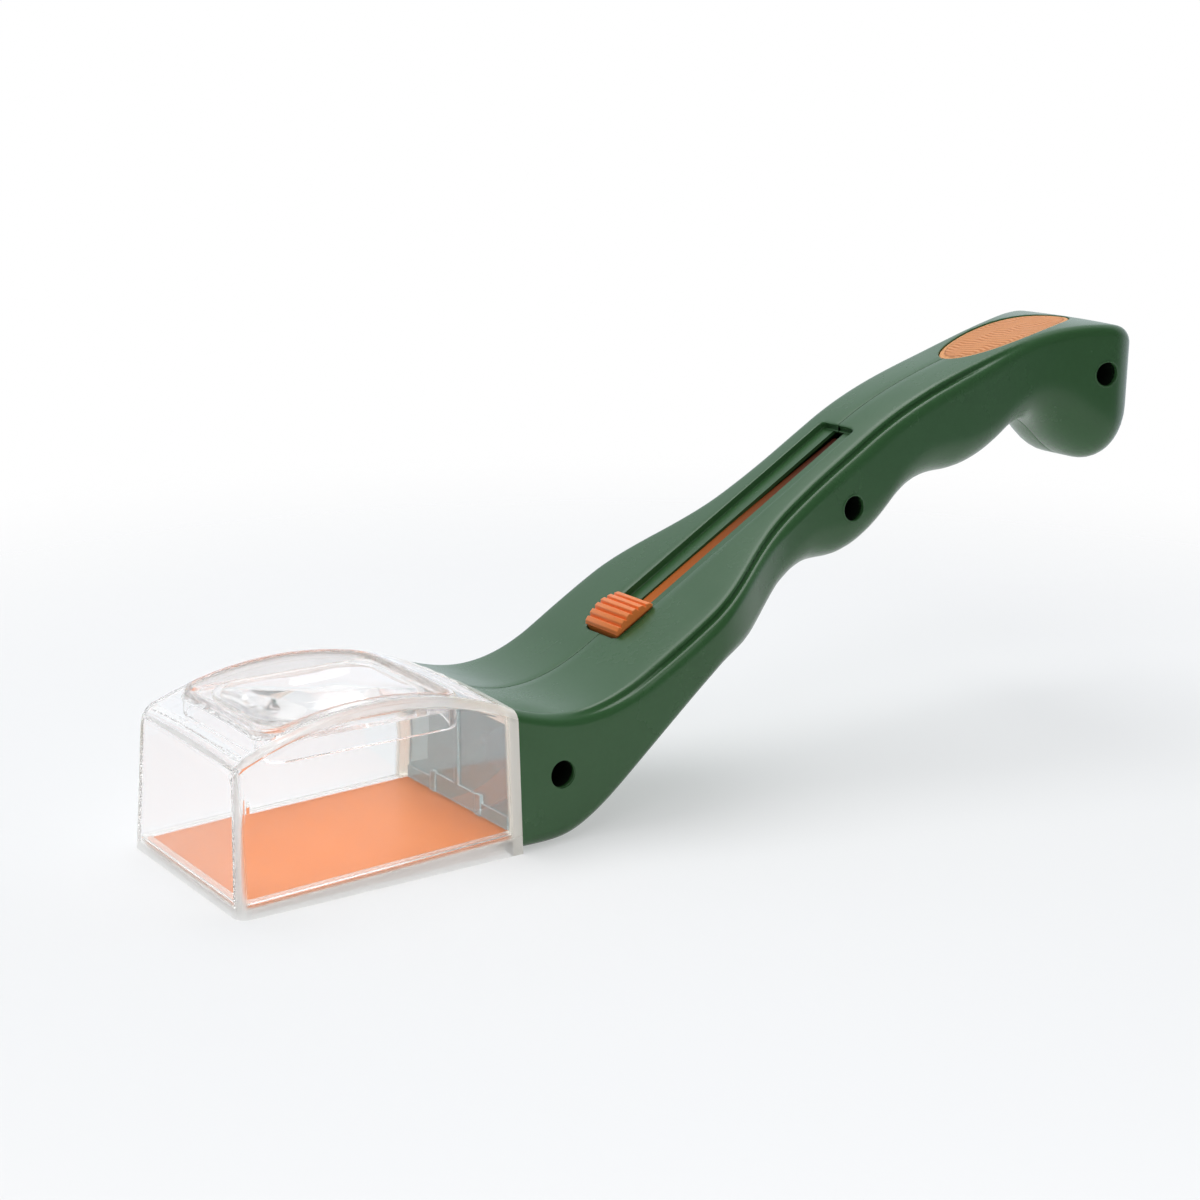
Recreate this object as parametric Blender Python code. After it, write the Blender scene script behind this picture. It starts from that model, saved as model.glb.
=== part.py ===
"""Hand-held insect catcher: a clear box with a magnifier, a sliding door and a curved grip.

The box is open at the bottom.  A flexible sheet in the rim's grooves closes it.  Pulling the thumb button
back along the slot draws the sheet out of the box and up into the wide root of the handle.

Metres, +Z up.  The length runs along X: box at -X, grip at +X, left side at -Y.  Shapes are drawn from the
plane where box and handle meet, at x = 0, and a parent empty then centres the object over its footprint.
"""
import math

import bmesh
import bpy
from mathutils import Matrix, Vector

# Fits
TOUCH = 0.0003            # between pieces that rest on each other
RUN = 0.0004              # round pieces that slide
CUT_PAST = 0.001          # how far a cutter reaches past the face it opens
MIN_EDGE = 0.0006         # least radius left on an inner edge
EDGE_SHARE = 0.45         # most of a section that one rounded edge takes up

# Clear box
CHAMBER_LENGTH = 0.071
CHAMBER_WIDTH = 0.054
CHAMBER_HEIGHT = 0.0333   # side walls at the front and rear ends
ROOF_RISE = 0.0077        # the roof's arch, above the ends
ROOF_CROWN = 0.0007       # the roof's swell from side to side
SIDE_DRAFT = 0.0022       # each side leans in by this over the height
FRONT_DRAFT = 0.0015
CHAMBER_WALL = 0.0020
CHAMBER_EDGE = 0.0028     # radius of the outer edges
RIM_HEIGHT = 0.0049
RIM_LEDGE = 0.0010        # how far the rim reaches under the sheet
SILL_LENGTH = 0.0036      # the rim's rear bar, under the sheet
FLANGE_LENGTH = 0.0012    # web from the walls to the spigot
SPIGOT_LENGTH = 0.0050    # plugs into the handle
SPIGOT_WALL = 0.0014
SPIGOT_FOOT = 0.0080      # the spigot starts above the sheet

# Back wall of the box, a plate in the way through the spigot
BACK_WALL = 0.0015
FOOT_STRIP = 0.0030       # height of the strip along the plate's foot
FOOT_MIDDLE = 0.0046      # and between the tabs
MIDDLE_RIB = 0.0016       # width of the upright rib
STRIP_PROUD = 0.0006      # how far strip and rib stand out from the plate
TAB_PROUD = 0.0010
TAB_WIDTH = 0.0022
TAB_HEIGHT = 0.0050
TAB_SPACING = 0.0200

# Magnifier: a frame let into the roof, with the lens on a level floor below the roof's arch
LENS_CENTRE = -0.0368
FRAME_LENGTH = 0.0490
FRAME_WIDTH = 0.0426
FRAME_CORNER = 0.0050
FRAME_WALL = 0.0014
FRAME_PROUD = 0.0003
FRAME_FLOOR = 0.0365
FLOOR_THICKNESS = 0.0015
SKIRT_FOOT = 0.0310
LENS_BORDER = 0.0033      # from the frame's outside to the lens
LENS_CORNER = 0.0100
LENS_SEAT = 0.0017        # how far the lens rests on the floor
LENS_EDGE = 0.0012
LENS_DOME = 0.0026
LENS_BELLY = 0.0036

# Sliding door
DOOR_LEVEL = 0.0037       # where the sheet enters the handle
DOOR_FALL = 0.0020        # how much lower the sheet lies at the box's front
DOOR_THICKNESS = 0.0006
DOOR_SIDE_ROOM = 0.0009   # to the inside of the handle
DOOR_TUCK = 0.0010        # the closed sheet's end inside the handle
STRAP_WIDTH = 0.0100
STRAP_THICKNESS = 0.0005
STRAP_REAR_DROP = 0.0020  # the tail sinks away from the slit
STRAP_BEND = 0.0210       # reach of the bend's two tangents

# Slot in the handle's top
SLOT_START = (0.0400, 0.0396)
SLOT_LENGTH = 0.0860
SLOT_ANGLE = math.radians(30.65)
SLOT_WIDTH = 0.0126
SLOT_DEPTH = 0.0018
SLOT_CORNER = 0.0012
SHELF = 0.0009
SHELF_BORDER = 0.0016
SLIT_WIDTH = 0.0041
SLIT_END = 0.0005

# Thumb button and its carriage
BUTTON_LENGTH = 0.0123
BUTTON_STOP = 0.0006      # left at each end of the slot
BUTTON_OVERHANG = 0.0004
BUTTON_END_HEIGHT = 0.0011
BUTTON_MIDDLE_HEIGHT = 0.0029
BUTTON_RIBS = 6
RIB_DEPTH = 0.0006
# One rib: (share of the pitch, share of the depth)
RIB_SHAPE = ((0.08, 1), (0.30, 0), (0.70, 0), (0.92, 1))
NECK_LENGTH = 0.0064
CARRIAGE_LENGTH = 0.0150
CARRIAGE_WIDTH = 0.0110
CARRIAGE_THICKNESS = 0.0018
BUTTON_SCREW_R = 0.0006
BUTTON_SCREW_HEAD_R = 0.0015
BUTTON_SCREW_HEAD = 0.0008

# Handle
HANDLE_WALL = 0.0022
SPLIT = 0.0003            # between the two halves
TOP_FILLET = 0.0015
TOP_CROWN = 0.0009        # the top falls by this from its middle to its edges, along the slot
POMMEL_CROWN = 0.0004
TOP_SLOPE = -0.35         # where the top leaves the box
DIP = (0.0140, 0.03045)   # lowest point of the top, behind the box
DIP_LEAD = 0.0040         # the top is straight this far ahead of the slot
GRIP_MIDDLE = (0.0341, 0.0138, 0.29)   # (along, height, slope) from the slot's rear end
POMMEL_CENTRE = (0.0761, 0.0224)       # from the slot's rear end
POMMEL_REACH = 0.0180     # from the pommel's centre to the end
POMMEL_MIDDLE = 0.0186    # depth of the pommel's widest level below its top
POMMEL_POWER = 2.8        # 2 is an ellipse, more is boxier
END_SHARE = 0.996         # where the rounding is cut flat
HOLLOW_SHARE = 0.72
HEEL_RADIUS = 0.0036      # lower edges, from the box to the pommel
ROOT_RADIUS = 0.0054
GRIP_RADIUS = 0.0096
POMMEL_RADIUS = 0.0140
GRIP_STRETCH = (-0.0200, 0.0500)  # where the grip's radius holds, from the slot's rear end
# Underside: (along, height, slope), from the joint plane and then from the slot's rear end
UNDERSIDE_ROOT = (
    (0.0, 0.0006, -0.03),
    (0.0110, 0.0006, 0.08),
    (0.0290, 0.0102, 0.85),
    (0.0560, 0.0326, 0.70),
)
UNDERSIDE_GRIP = (
    (-0.0440, -0.0460, 0.40),   # shoulder
    (-0.0270, -0.0352, 0.62),
    (-0.0110, -0.0319, 0.0),    # first finger ridge
    (0.0080, -0.0220, 1.0),
    (0.0290, -0.0140, 0.0),     # second finger ridge
    (0.0490, -0.0072, 0.72),
    (0.0595, -0.0033, 0.0),     # hollow ahead of the pommel
    (0.0700, -0.0085, -0.88),
    (0.0830, -0.0167, -0.25),   # foot of the pommel
)
# Half width of the top: (along, excess over the roof's, slope), then (along, half width, slope) from the
# slot's rear end
ROOT_WIDTHS = ((0.0, 0.0, 0.12), (0.0180, 0.0012, 0.04), (0.0550, 0.0024, -0.08))
GRIP_WIDTHS = (
    (-0.0440, 0.0219, -0.52),
    (-0.0280, 0.0157, -0.16),
    (-0.0100, 0.0144, 0.0),
    (0.0330, 0.0136, -0.03),
    (0.0490, 0.0132, 0.0),
    (0.0670, 0.0151, 0.26),
    (0.0790, 0.0187, 0.31),
    (0.0890, 0.0195, 0.0),
)

# Handle screws: (along, height) of each axis
SCREW_FRONT = (0.0114, 0.0166)
SCREW_MIDDLE = (-0.0065, -0.0184)   # from the slot's rear end
SCREW_REAR = (0.0025, -0.0134)      # from the pommel's centre
BOSS_R = 0.0046
COUNTERBORE_R = 0.0033
BOSS_FLOOR = 0.0024
SCREW_HEAD_R = 0.0029
SCREW_HEAD = 0.0020
SCREW_SHANK_R = 0.0013
SCREW_BITE = 0.0070
CROSS_WIDTH = 0.0009
CROSS_DEPTH = 0.0010
CROSS_REACH = 0.62        # share of the head's radius

# Oval thumb pad
INLAY_CENTRE = 0.0581     # from the slot's rear end
INLAY_LENGTH = 0.0440
INLAY_WIDTH = 0.0186
INLAY_DEPTH = 0.0014
INLAY_SUNK = 0.0003       # below the rim of its recess

# Facets
SMOOTH_ANGLE = 35
ARC_STEPS = 4
ROUND_STEPS = 20
SMALL_ROUND_STEPS = 12
OVAL_STEPS = 32
OVAL_RINGS = (0.3, 0.65, 1.0)
ROOF_STEPS = 14
ROOF_SHARES = (0.66, 0.33)
FRAME_SIDE_STEPS = 8
DOME_RINGS = (0.25, 0.5, 0.75, 0.92)
STRAP_STEPS = 14
ROOT_STEPS = 12
NECK_STEPS = 4
GRIP_STEPS = 24
HOLLOW_STEPS = 5
END_STEPS = 8

# Finishes: colour, roughness, metallic
SHELL_FINISH = ((0.90, 0.92, 0.92, 0.25), 0.05, 0.0)
LENS_FINISH = ((0.90, 0.92, 0.92, 0.25), 0.02, 0.0)
SHEET_FINISH = ((0.78, 0.26, 0.09, 1.0), 0.40, 0.0)
BUTTON_FINISH = ((0.66, 0.145, 0.025, 1.0), 0.40, 0.0)
PAD_FINISH = ((0.62, 0.23, 0.08, 1.0), 0.55, 0.0)
HANDLE_FINISH = ((0.038, 0.105, 0.044, 1.0), 0.42, 0.0)
SCREW_FINISH = ((0.10, 0.10, 0.11, 1.0), 0.35, 1.0)

SLOT_ALONG = Vector((math.cos(SLOT_ANGLE), 0.0, math.sin(SLOT_ANGLE)))
SLOT_UP = Vector((-math.sin(SLOT_ANGLE), 0.0, math.cos(SLOT_ANGLE)))
SLOT_FRONT = Vector((SLOT_START[0], 0.0, SLOT_START[1]))
SLOT_REAR = SLOT_FRONT + SLOT_LENGTH * SLOT_ALONG
SLOT_SLOPE = math.tan(SLOT_ANGLE)
SLOT_TURN = Matrix.Rotation(-SLOT_ANGLE, 4, "Y")
SLOT_PLACE = Matrix.Translation(SLOT_FRONT) @ SLOT_TURN
POMMEL_X = SLOT_REAR.x + POMMEL_CENTRE[0]
POMMEL_Z = SLOT_REAR.z + POMMEL_CENTRE[1]
HANDLE_END = POMMEL_X + END_SHARE * POMMEL_REACH
FRAME_SHIFT = Vector(((CHAMBER_LENGTH - HANDLE_END) / 2, 0.0, 0.0))

DOOR_WIDTH = CHAMBER_WIDTH - 2 * (HANDLE_WALL + DOOR_SIDE_ROOM)
DOOR_EDGE = (CHAMBER_WIDTH - DOOR_WIDTH) / 2     # the sheet's edge, in from the box's outside
GROOVE_EDGE = DOOR_EDGE - RUN
MOUTH_EDGE = DOOR_EDGE + RIM_LEDGE
FLANGE_EDGE = HANDLE_WALL + TOUCH + SPIGOT_WALL
STRAP_DEPTH = SLOT_DEPTH + SHELF + RUN + STRAP_THICKNESS / 2
CARRIAGE_TOP = STRAP_DEPTH + STRAP_THICKNESS / 2 + TOUCH


def curve_through(knots):
    """Smooth function through (place, value, slope) knots, straight beyond the last one."""
    def value(x):
        if x <= knots[0][0]:
            return knots[0][1] + (x - knots[0][0]) * knots[0][2]
        for (x0, v0, s0), (x1, v1, s1) in zip(knots, knots[1:]):
            if x <= x1:
                span = x1 - x0
                t = (x - x0) / span
                rise = (2 * t**3 - 3 * t**2 + 1) * v0 + (3 * t**2 - 2 * t**3) * v1
                return rise + span * ((t**3 - 2 * t**2 + t) * s0 + (t**3 - t**2) * s1)
        return knots[-1][1] + (x - knots[-1][0]) * knots[-1][2]
    return value


def from_slot_rear(knots, lift):
    return [(SLOT_REAR.x + along, lift + value, slope) for along, value, slope in knots]


ROOF_HALF = CHAMBER_WIDTH / 2 - SIDE_DRAFT
base_top = curve_through([
    (0.0, CHAMBER_HEIGHT, TOP_SLOPE),
    (DIP[0], DIP[1], 0.0),
    (SLOT_FRONT.x - DIP_LEAD, SLOT_FRONT.z - DIP_LEAD * SLOT_SLOPE, SLOT_SLOPE),
    (SLOT_REAR.x, SLOT_REAR.z, SLOT_SLOPE),
    (SLOT_REAR.x + GRIP_MIDDLE[0], SLOT_REAR.z + GRIP_MIDDLE[1], GRIP_MIDDLE[2]),
    (POMMEL_X, POMMEL_Z, 0.0),
])
base_under = curve_through(list(UNDERSIDE_ROOT) + from_slot_rear(UNDERSIDE_GRIP, SLOT_REAR.z))
base_half_width = curve_through([(along, ROOF_HALF + swell, slope) for along, swell, slope in ROOT_WIDTHS]
                                + from_slot_rear(GRIP_WIDTHS, 0.0))
top_crown = curve_through([
    (0.0, 0.0, 0.0),
    (SLOT_FRONT.x, TOP_CROWN, 0.0),
    (SLOT_REAR.x, TOP_CROWN, 0.0),
    (POMMEL_X, POMMEL_CROWN, 0.0),
])
top_fillet = curve_through([(0.0, CHAMBER_EDGE, 0.0), (DIP[0], TOP_FILLET, 0.0)])
under_radius = curve_through([
    (0.0, HEEL_RADIUS, 0.0),
    (ROOT_WIDTHS[-1][0], ROOT_RADIUS, 0.0),
    (SLOT_REAR.x + GRIP_STRETCH[0], GRIP_RADIUS, 0.0),
    (SLOT_REAR.x + GRIP_STRETCH[1], GRIP_RADIUS, 0.0),
    (POMMEL_X, POMMEL_RADIUS, 0.0),
])


def end_round(x):
    """Share of the full section that is left towards the rounded end of the pommel."""
    t = (x - POMMEL_X) / POMMEL_REACH
    if t <= 0.0:
        return 1.0
    return (1.0 - t**POMMEL_POWER) ** (1.0 / POMMEL_POWER)


def top_height(x):
    middle = POMMEL_Z - POMMEL_MIDDLE
    return middle + (base_top(x) - middle) * end_round(x)


def under_height(x):
    middle = POMMEL_Z - POMMEL_MIDDLE
    return middle + (base_under(x) - middle) * end_round(x)


def top_surface(x, y):
    """Height of the crowned top beside its middle line."""
    half = base_half_width(x) * end_round(x)
    return top_height(x) - top_crown(x) * end_round(x) * (y / half) ** 2


def side_lean(x):
    """How much wider the root is below than above, fading out behind the box."""
    return SIDE_DRAFT * max(0.0, 1.0 - x / SLOT_FRONT.x) ** 2


def arc(centre_y, centre_z, radius, start, stop, steps):
    """Points of an arc, angles in degrees from +Y towards +Z."""
    points = []
    for step in range(steps + 1):
        turn = math.radians(start + (stop - start) * step / steps)
        points.append((centre_y + radius * math.cos(turn), centre_z + radius * math.sin(turn)))
    return points


def handle_half(x, inset, inner_edge):
    """Half cross-section, from the middle of the top round to the middle of the underside."""
    x = max(x, 0.0)
    top = top_height(x) - inset
    edge_top = top_surface(x, base_half_width(x) * end_round(x)) - inset
    under = under_height(x) + inset
    half_top = base_half_width(x) * end_round(x) - inset
    half_under = half_top + side_lean(x)
    limit = EDGE_SHARE * min(edge_top - under, 2 * half_top)
    shoulder = min(max(top_fillet(x) - inset, MIN_EDGE), limit)
    belly = min(max(under_radius(x) - inset, MIN_EDGE), limit)
    flat = half_top - shoulder
    points = [(inner_edge, top), (flat / 2, top - (top - edge_top) / 4)]
    points += arc(flat, edge_top - shoulder, shoulder, 90, 0, ARC_STEPS)
    points += arc(half_under - belly, under + belly, belly, 0, -90, ARC_STEPS + 1)
    points.append((inner_edge, under))
    return points


def spread(start, stop, count):
    return [start + (stop - start) * step / count for step in range(count)]


def handle_stations(last):
    """Places of the cross-sections, closer together where the outline turns."""
    root = ROOT_WIDTHS[-1][0]
    shoulder = SLOT_REAR.x + UNDERSIDE_GRIP[0][0]
    hollow = SLOT_REAR.x + UNDERSIDE_GRIP[6][0]
    places = spread(0.0, root, ROOT_STEPS) + spread(root, shoulder, NECK_STEPS)
    places += spread(shoulder, hollow, GRIP_STEPS) + spread(hollow, POMMEL_X, HOLLOW_STEPS)
    reach = last - POMMEL_X
    for step in range(END_STEPS + 1):
        places.append(POMMEL_X + reach * math.sin(math.radians(90 * step / END_STEPS)))
    return places


def loft(rings):
    """Closed body through rings of points, with a flat cap at each end."""
    bm = bmesh.new()
    loops = [[bm.verts.new(point) for point in ring] for ring in rings]
    for near, far in zip(loops, loops[1:]):
        for a in range(len(near)):
            b = (a + 1) % len(near)
            bm.faces.new((near[a], near[b], far[b], far[a]))
    bm.faces.new(loops[0])
    bm.faces.new(loops[-1])
    bmesh.ops.recalc_face_normals(bm, faces=bm.faces)
    return bm


def hoop(loops):
    """Closed ring body whose section is given by one loop of points for each of its corners."""
    bm = bmesh.new()
    loops = [[bm.verts.new(point) for point in loop] for loop in loops]
    for near, far in zip(loops, loops[1:] + loops[:1]):
        for a in range(len(near)):
            b = (a + 1) % len(near)
            bm.faces.new((near[a], near[b], far[b], far[a]))
    bmesh.ops.recalc_face_normals(bm, faces=bm.faces)
    return bm


def prism(outline, low, high):
    return loft([[(x, y, low) for x, y in outline], [(x, y, high) for x, y in outline]])


def box(low, high):
    outline = [(low[0], low[1]), (high[0], low[1]), (high[0], high[1]), (low[0], high[1])]
    return prism(outline, low[2], high[2])


def round_rectangle(centre_x, length, width, corner):
    outline = []
    for turn, sx, sy in ((0, 1, 1), (90, -1, 1), (180, -1, -1), (270, 1, -1)):
        middle_x = centre_x + sx * (length / 2 - corner)
        middle_y = sy * (width / 2 - corner)
        outline += arc(middle_x, middle_y, corner, turn, turn + 90, ARC_STEPS)
    return outline


def with_side_points(outline, steps):
    """The outline with its long straight sides divided, so that it can follow a curved roof."""
    divided = []
    for index, point in enumerate(outline):
        ahead = outline[(index + 1) % len(outline)]
        count = steps if index % (ARC_STEPS + 1) == ARC_STEPS else 1
        for step in range(count):
            share = step / count
            x = point[0] + (ahead[0] - point[0]) * share
            divided.append((x, point[1] + (ahead[1] - point[1]) * share))
    return divided


def circle(centre, radius, steps):
    return arc(centre[0], centre[1], radius, 0, 360 - 360 / steps, steps - 1)


def rod_along_y(centre, radius, low, high, steps=ROUND_STEPS):
    """Cylinder with its axis along Y through (x, z)."""
    outline = circle(centre, radius, steps)
    return loft([[(x, low, z) for x, z in outline], [(x, high, z) for x, z in outline]])


def rod_along_z(radius, low, high):
    return prism(circle((0.0, 0.0), radius, SMALL_ROUND_STEPS), low, high)


def finish(name, color, roughness, metallic):
    material = bpy.data.materials.new(name)
    material.use_nodes = True
    shader = material.node_tree.nodes["Principled BSDF"]
    shader.inputs["Base Color"].default_value = color
    shader.inputs["Alpha"].default_value = color[3]
    shader.inputs["Roughness"].default_value = roughness
    shader.inputs["Metallic"].default_value = metallic
    return material


def place(name, bm, parent, matrix=None):
    mesh = bpy.data.meshes.new(name)
    bm.to_mesh(mesh)
    bm.free()
    piece = bpy.data.objects.new(name, mesh)
    bpy.context.collection.objects.link(piece)
    piece.parent = parent
    if matrix is not None:
        piece.matrix_local = matrix
    return piece


def add_piece(name, bm, parent, look, matrix=None):
    piece = place(name, bm, parent, matrix)
    piece.data.materials.append(finish(name, *look))
    piece.data.shade_smooth()
    piece.data.set_sharp_from_angle(angle=math.radians(SMOOTH_ANGLE))
    return piece


def add_cutter(name, bm, parent, matrix=None):
    cutter = place(name, bm, parent, matrix)
    cutter.hide_render = True
    cutter.display_type = "WIRE"
    return cutter


def boolean(piece, other, operation="DIFFERENCE"):
    step = piece.modifiers.new(other.name, "BOOLEAN")
    step.object = other
    step.operation = operation
    step.solver = "EXACT"


def roof_height(x):
    """Height of the roof's arch above the rim, from the arc through both ends and the rise."""
    half = CHAMBER_LENGTH / 2
    radius = (half**2 + ROOF_RISE**2) / (2 * ROOF_RISE)
    along = min(max(x, -CHAMBER_LENGTH), 0.0) + half
    return CHAMBER_HEIGHT + ROOF_RISE - radius + math.sqrt(radius**2 - along**2)


def chamber_side(z, inset):
    return CHAMBER_WIDTH / 2 - inset - SIDE_DRAFT * z / CHAMBER_HEIGHT


def chamber_ring(x, inset, low, top, edge, trim=0.0, crown=ROOF_CROWN):
    """Cross-section of the box: straight leaning sides, round shoulders and a slightly swollen roof."""
    shoulder = max(edge - inset, MIN_EDGE)
    top = top - trim
    half_top = chamber_side(top - shoulder, inset) - trim
    right = [(chamber_side(low, inset) - trim, low)]
    right += arc(half_top - shoulder, top - shoulder, shoulder, 0, 90, ARC_STEPS)
    flat = half_top - shoulder
    right += [(flat * share, top + crown * (1 - share**2)) for share in ROOF_SHARES]
    middle = [(0.0, top + crown)]
    left = [(-y, z) for y, z in reversed(right)]
    lean = FRONT_DRAFT * max(0.0, -x) / CHAMBER_LENGTH
    return [(x + lean * z / CHAMBER_HEIGHT, y, z) for y, z in right + middle + left]


def chamber_body(inset, low, rear):
    """Box body shrunk by inset, with its front edges rounded."""
    front = -CHAMBER_LENGTH + inset
    edge = max(CHAMBER_EDGE - inset, MIN_EDGE)
    rings = []
    for step in range(ARC_STEPS + 1):
        turn = math.radians(90 * step / ARC_STEPS)
        x = front + edge * (1 - math.cos(turn))
        trim = edge * (1 - math.sin(turn))
        rings.append(chamber_ring(x, inset, low, roof_height(x) - inset, CHAMBER_EDGE, trim))
    for x in spread(front + edge, rear, ROOF_STEPS)[1:] + [rear]:
        rings.append(chamber_ring(x, inset, low, roof_height(x) - inset, CHAMBER_EDGE))
    return loft(rings)


def root_ring(x, inset, low):
    """Ring inside the handle's mouth, below its top."""
    return chamber_ring(x, inset, low, top_height(max(x, 0.0)) - inset, TOP_FILLET, crown=0.0)


def frame_outline(inset, corner=FRAME_CORNER):
    return round_rectangle(LENS_CENTRE, FRAME_LENGTH - 2 * inset, FRAME_WIDTH - 2 * inset, corner)


def slope_like_door(bm, highest):
    """Leans what lies below a level of the body to the door's slope."""
    for vertex in bm.verts:
        if vertex.co.z < highest:
            vertex.co.z += DOOR_FALL * vertex.co.x / CHAMBER_LENGTH
    return bm


def make_chamber(parent):
    piece = add_piece("capture_chamber", chamber_body(0.0, 0.0, 0.0), parent, SHELL_FINISH)
    spigot_edge = HANDLE_WALL + TOUCH
    stations = (-FLANGE_LENGTH / 4, 0.0, SPIGOT_LENGTH / 2, SPIGOT_LENGTH)
    spigot = loft([root_ring(x, spigot_edge, SPIGOT_FOOT) for x in stations])
    boolean(piece, add_cutter("chamber_spigot", spigot, parent), "UNION")
    inside = slope_like_door(chamber_body(CHAMBER_WALL, RIM_HEIGHT, -FLANGE_LENGTH), RIM_HEIGHT + TOUCH)
    boolean(piece, add_cutter("chamber_inside", inside, parent))
    stations = (-SILL_LENGTH - CUT_PAST, 0.0, SPIGOT_LENGTH + CUT_PAST)
    passage = loft([root_ring(x, FLANGE_EDGE, DOOR_LEVEL) for x in stations])
    boolean(piece, add_cutter("chamber_passage", passage, parent))
    front = -CHAMBER_LENGTH
    half = CHAMBER_WIDTH / 2
    mouth = box((front + MOUTH_EDGE, -half + MOUTH_EDGE, -CUT_PAST),
                (-SILL_LENGTH, half - MOUTH_EDGE, RIM_HEIGHT + CUT_PAST))
    boolean(piece, add_cutter("chamber_mouth", mouth, parent))
    play = DOOR_THICKNESS / 2 + RUN
    groove = box((front + GROOVE_EDGE, -half + GROOVE_EDGE, DOOR_LEVEL - play),
                 (CUT_PAST, half - GROOVE_EDGE, DOOR_LEVEL + play))
    boolean(piece, add_cutter("door_groove", slope_like_door(groove, RIM_HEIGHT), parent))
    hole = prism(frame_outline(-TOUCH, FRAME_CORNER + TOUCH), SKIRT_FOOT, CHAMBER_HEIGHT + 2 * ROOF_RISE)
    boolean(piece, add_cutter("roof_opening", hole, parent))
    return piece


def make_back_wall(parent):
    """Plate above the sheet, with a strip along its foot, an upright rib and two small tabs in front."""
    front = -FLANGE_LENGTH
    inset = FLANGE_EDGE + TOUCH
    low = DOOR_LEVEL + DOOR_THICKNESS / 2 + RUN
    rings = [root_ring(x, inset, low) for x in (front, front + BACK_WALL)]
    piece = add_piece("chamber_back_wall", loft(rings), parent, SHELL_FINISH)
    foot = low + TOUCH
    strip_half = chamber_side(foot + FOOT_STRIP, inset) - TOUCH
    rib_top = CHAMBER_HEIGHT - inset - TOUCH
    raised = [
        ("foot_strip", 0.0, 2 * strip_half, FOOT_STRIP, STRIP_PROUD),
        ("foot_middle", 0.0, TAB_SPACING, FOOT_MIDDLE, STRIP_PROUD),
        ("middle_rib", 0.0, MIDDLE_RIB, rib_top - foot, STRIP_PROUD),
        ("tab_left", -TAB_SPACING / 2, TAB_WIDTH, TAB_HEIGHT, TAB_PROUD),
        ("tab_right", TAB_SPACING / 2, TAB_WIDTH, TAB_HEIGHT, TAB_PROUD),
    ]
    for name, middle, width, height, proud in raised:
        block = box((front - proud, middle - width / 2, foot),
                    (front + BACK_WALL / 2, middle + width / 2, foot + height))
        boolean(piece, add_cutter("back_wall_" + name, block, parent), "UNION")
    return piece


def make_lens_frame(parent):
    """Wall that follows the roof's arch, a level floor with the lens opening, and a skirt below."""
    opening = LENS_BORDER + LENS_SEAT
    inner_corner = FRAME_CORNER - FRAME_WALL
    below = FRAME_FLOOR - FLOOR_THICKNESS
    section = ((0.0, FRAME_CORNER, SKIRT_FOOT), (0.0, FRAME_CORNER, None),
               (FRAME_WALL, inner_corner, None), (FRAME_WALL, inner_corner, FRAME_FLOOR),
               (opening, LENS_CORNER - LENS_SEAT, FRAME_FLOOR), (opening, LENS_CORNER - LENS_SEAT, below),
               (FRAME_WALL, inner_corner, below), (FRAME_WALL, inner_corner, SKIRT_FOOT))
    loops = []
    for inset, corner, height in section:
        loop = []
        for x, y in with_side_points(frame_outline(inset, corner), FRAME_SIDE_STEPS):
            swell = ROOF_CROWN * (1 - (2 * y / FRAME_WIDTH) ** 2)
            loop.append((x, y, roof_height(x) + swell + FRAME_PROUD if height is None else height))
        loops.append(loop)
    return add_piece("lens_frame", hoop(loops), parent, SHELL_FINISH)


def make_lens(parent):
    """Square lens with round corners: a flat edge that rests on the floor, domed above and below."""
    length = FRAME_LENGTH - 2 * LENS_BORDER
    width = FRAME_WIDTH - 2 * LENS_BORDER
    edge_low = FRAME_FLOOR + TOUCH
    edge_high = edge_low + LENS_EDGE
    inner = LENS_SEAT + TOUCH

    def ring(inset, share, height):
        corner = share * (LENS_CORNER - inset)
        size = (share * (length - 2 * inset), share * (width - 2 * inset))
        outline = round_rectangle(LENS_CENTRE, *size, corner)
        return [(x, y, height) for x, y in outline]

    rings = [ring(inner, share, edge_low - LENS_BELLY * (1 - share**2)) for share in DOME_RINGS]
    rings += [ring(inner, 1.0, edge_low), ring(0.0, 1.0, edge_low), ring(0.0, 1.0, edge_high)]
    shares = (1.0,) + DOME_RINGS[::-1]
    rings += [ring(inner, share, edge_high + LENS_DOME * (1 - share**2)) for share in shares]
    return add_piece("magnifier_lens", loft(rings), parent, LENS_FINISH)


def make_door(parent):
    half = CHAMBER_WIDTH / 2 - DOOR_EDGE
    sheet = box((-CHAMBER_LENGTH + DOOR_EDGE, -half, DOOR_LEVEL - DOOR_THICKNESS / 2),
                (DOOR_TUCK, half, DOOR_LEVEL + DOOR_THICKNESS / 2))
    return add_piece("door_sheet", slope_like_door(sheet, RIM_HEIGHT), parent, SHEET_FINISH)


def slot_point(along, depth):
    return SLOT_FRONT + along * SLOT_ALONG - depth * SLOT_UP


def strap_route():
    """Middle line of the strap: level behind the sheet, round the bend, then along below the slit."""
    start = Vector((DOOR_TUCK + TOUCH, 0.0, DOOR_LEVEL))
    stop = slot_point(0.0, STRAP_DEPTH)
    pull_start = start + Vector((STRAP_BEND, 0.0, 0.0))
    pull_stop = stop - STRAP_BEND * SLOT_ALONG
    route = []
    for step in range(STRAP_STEPS + 1):
        t = step / STRAP_STEPS
        u = 1 - t
        route.append(u**3 * start + 3 * u**2 * t * pull_start + 3 * u * t**2 * pull_stop + t**3 * stop)
    route.append(slot_point(CARRIAGE_LENGTH, STRAP_DEPTH))
    route.append(slot_point(SLOT_LENGTH - SLIT_END, STRAP_DEPTH + STRAP_REAR_DROP))
    return route


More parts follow.
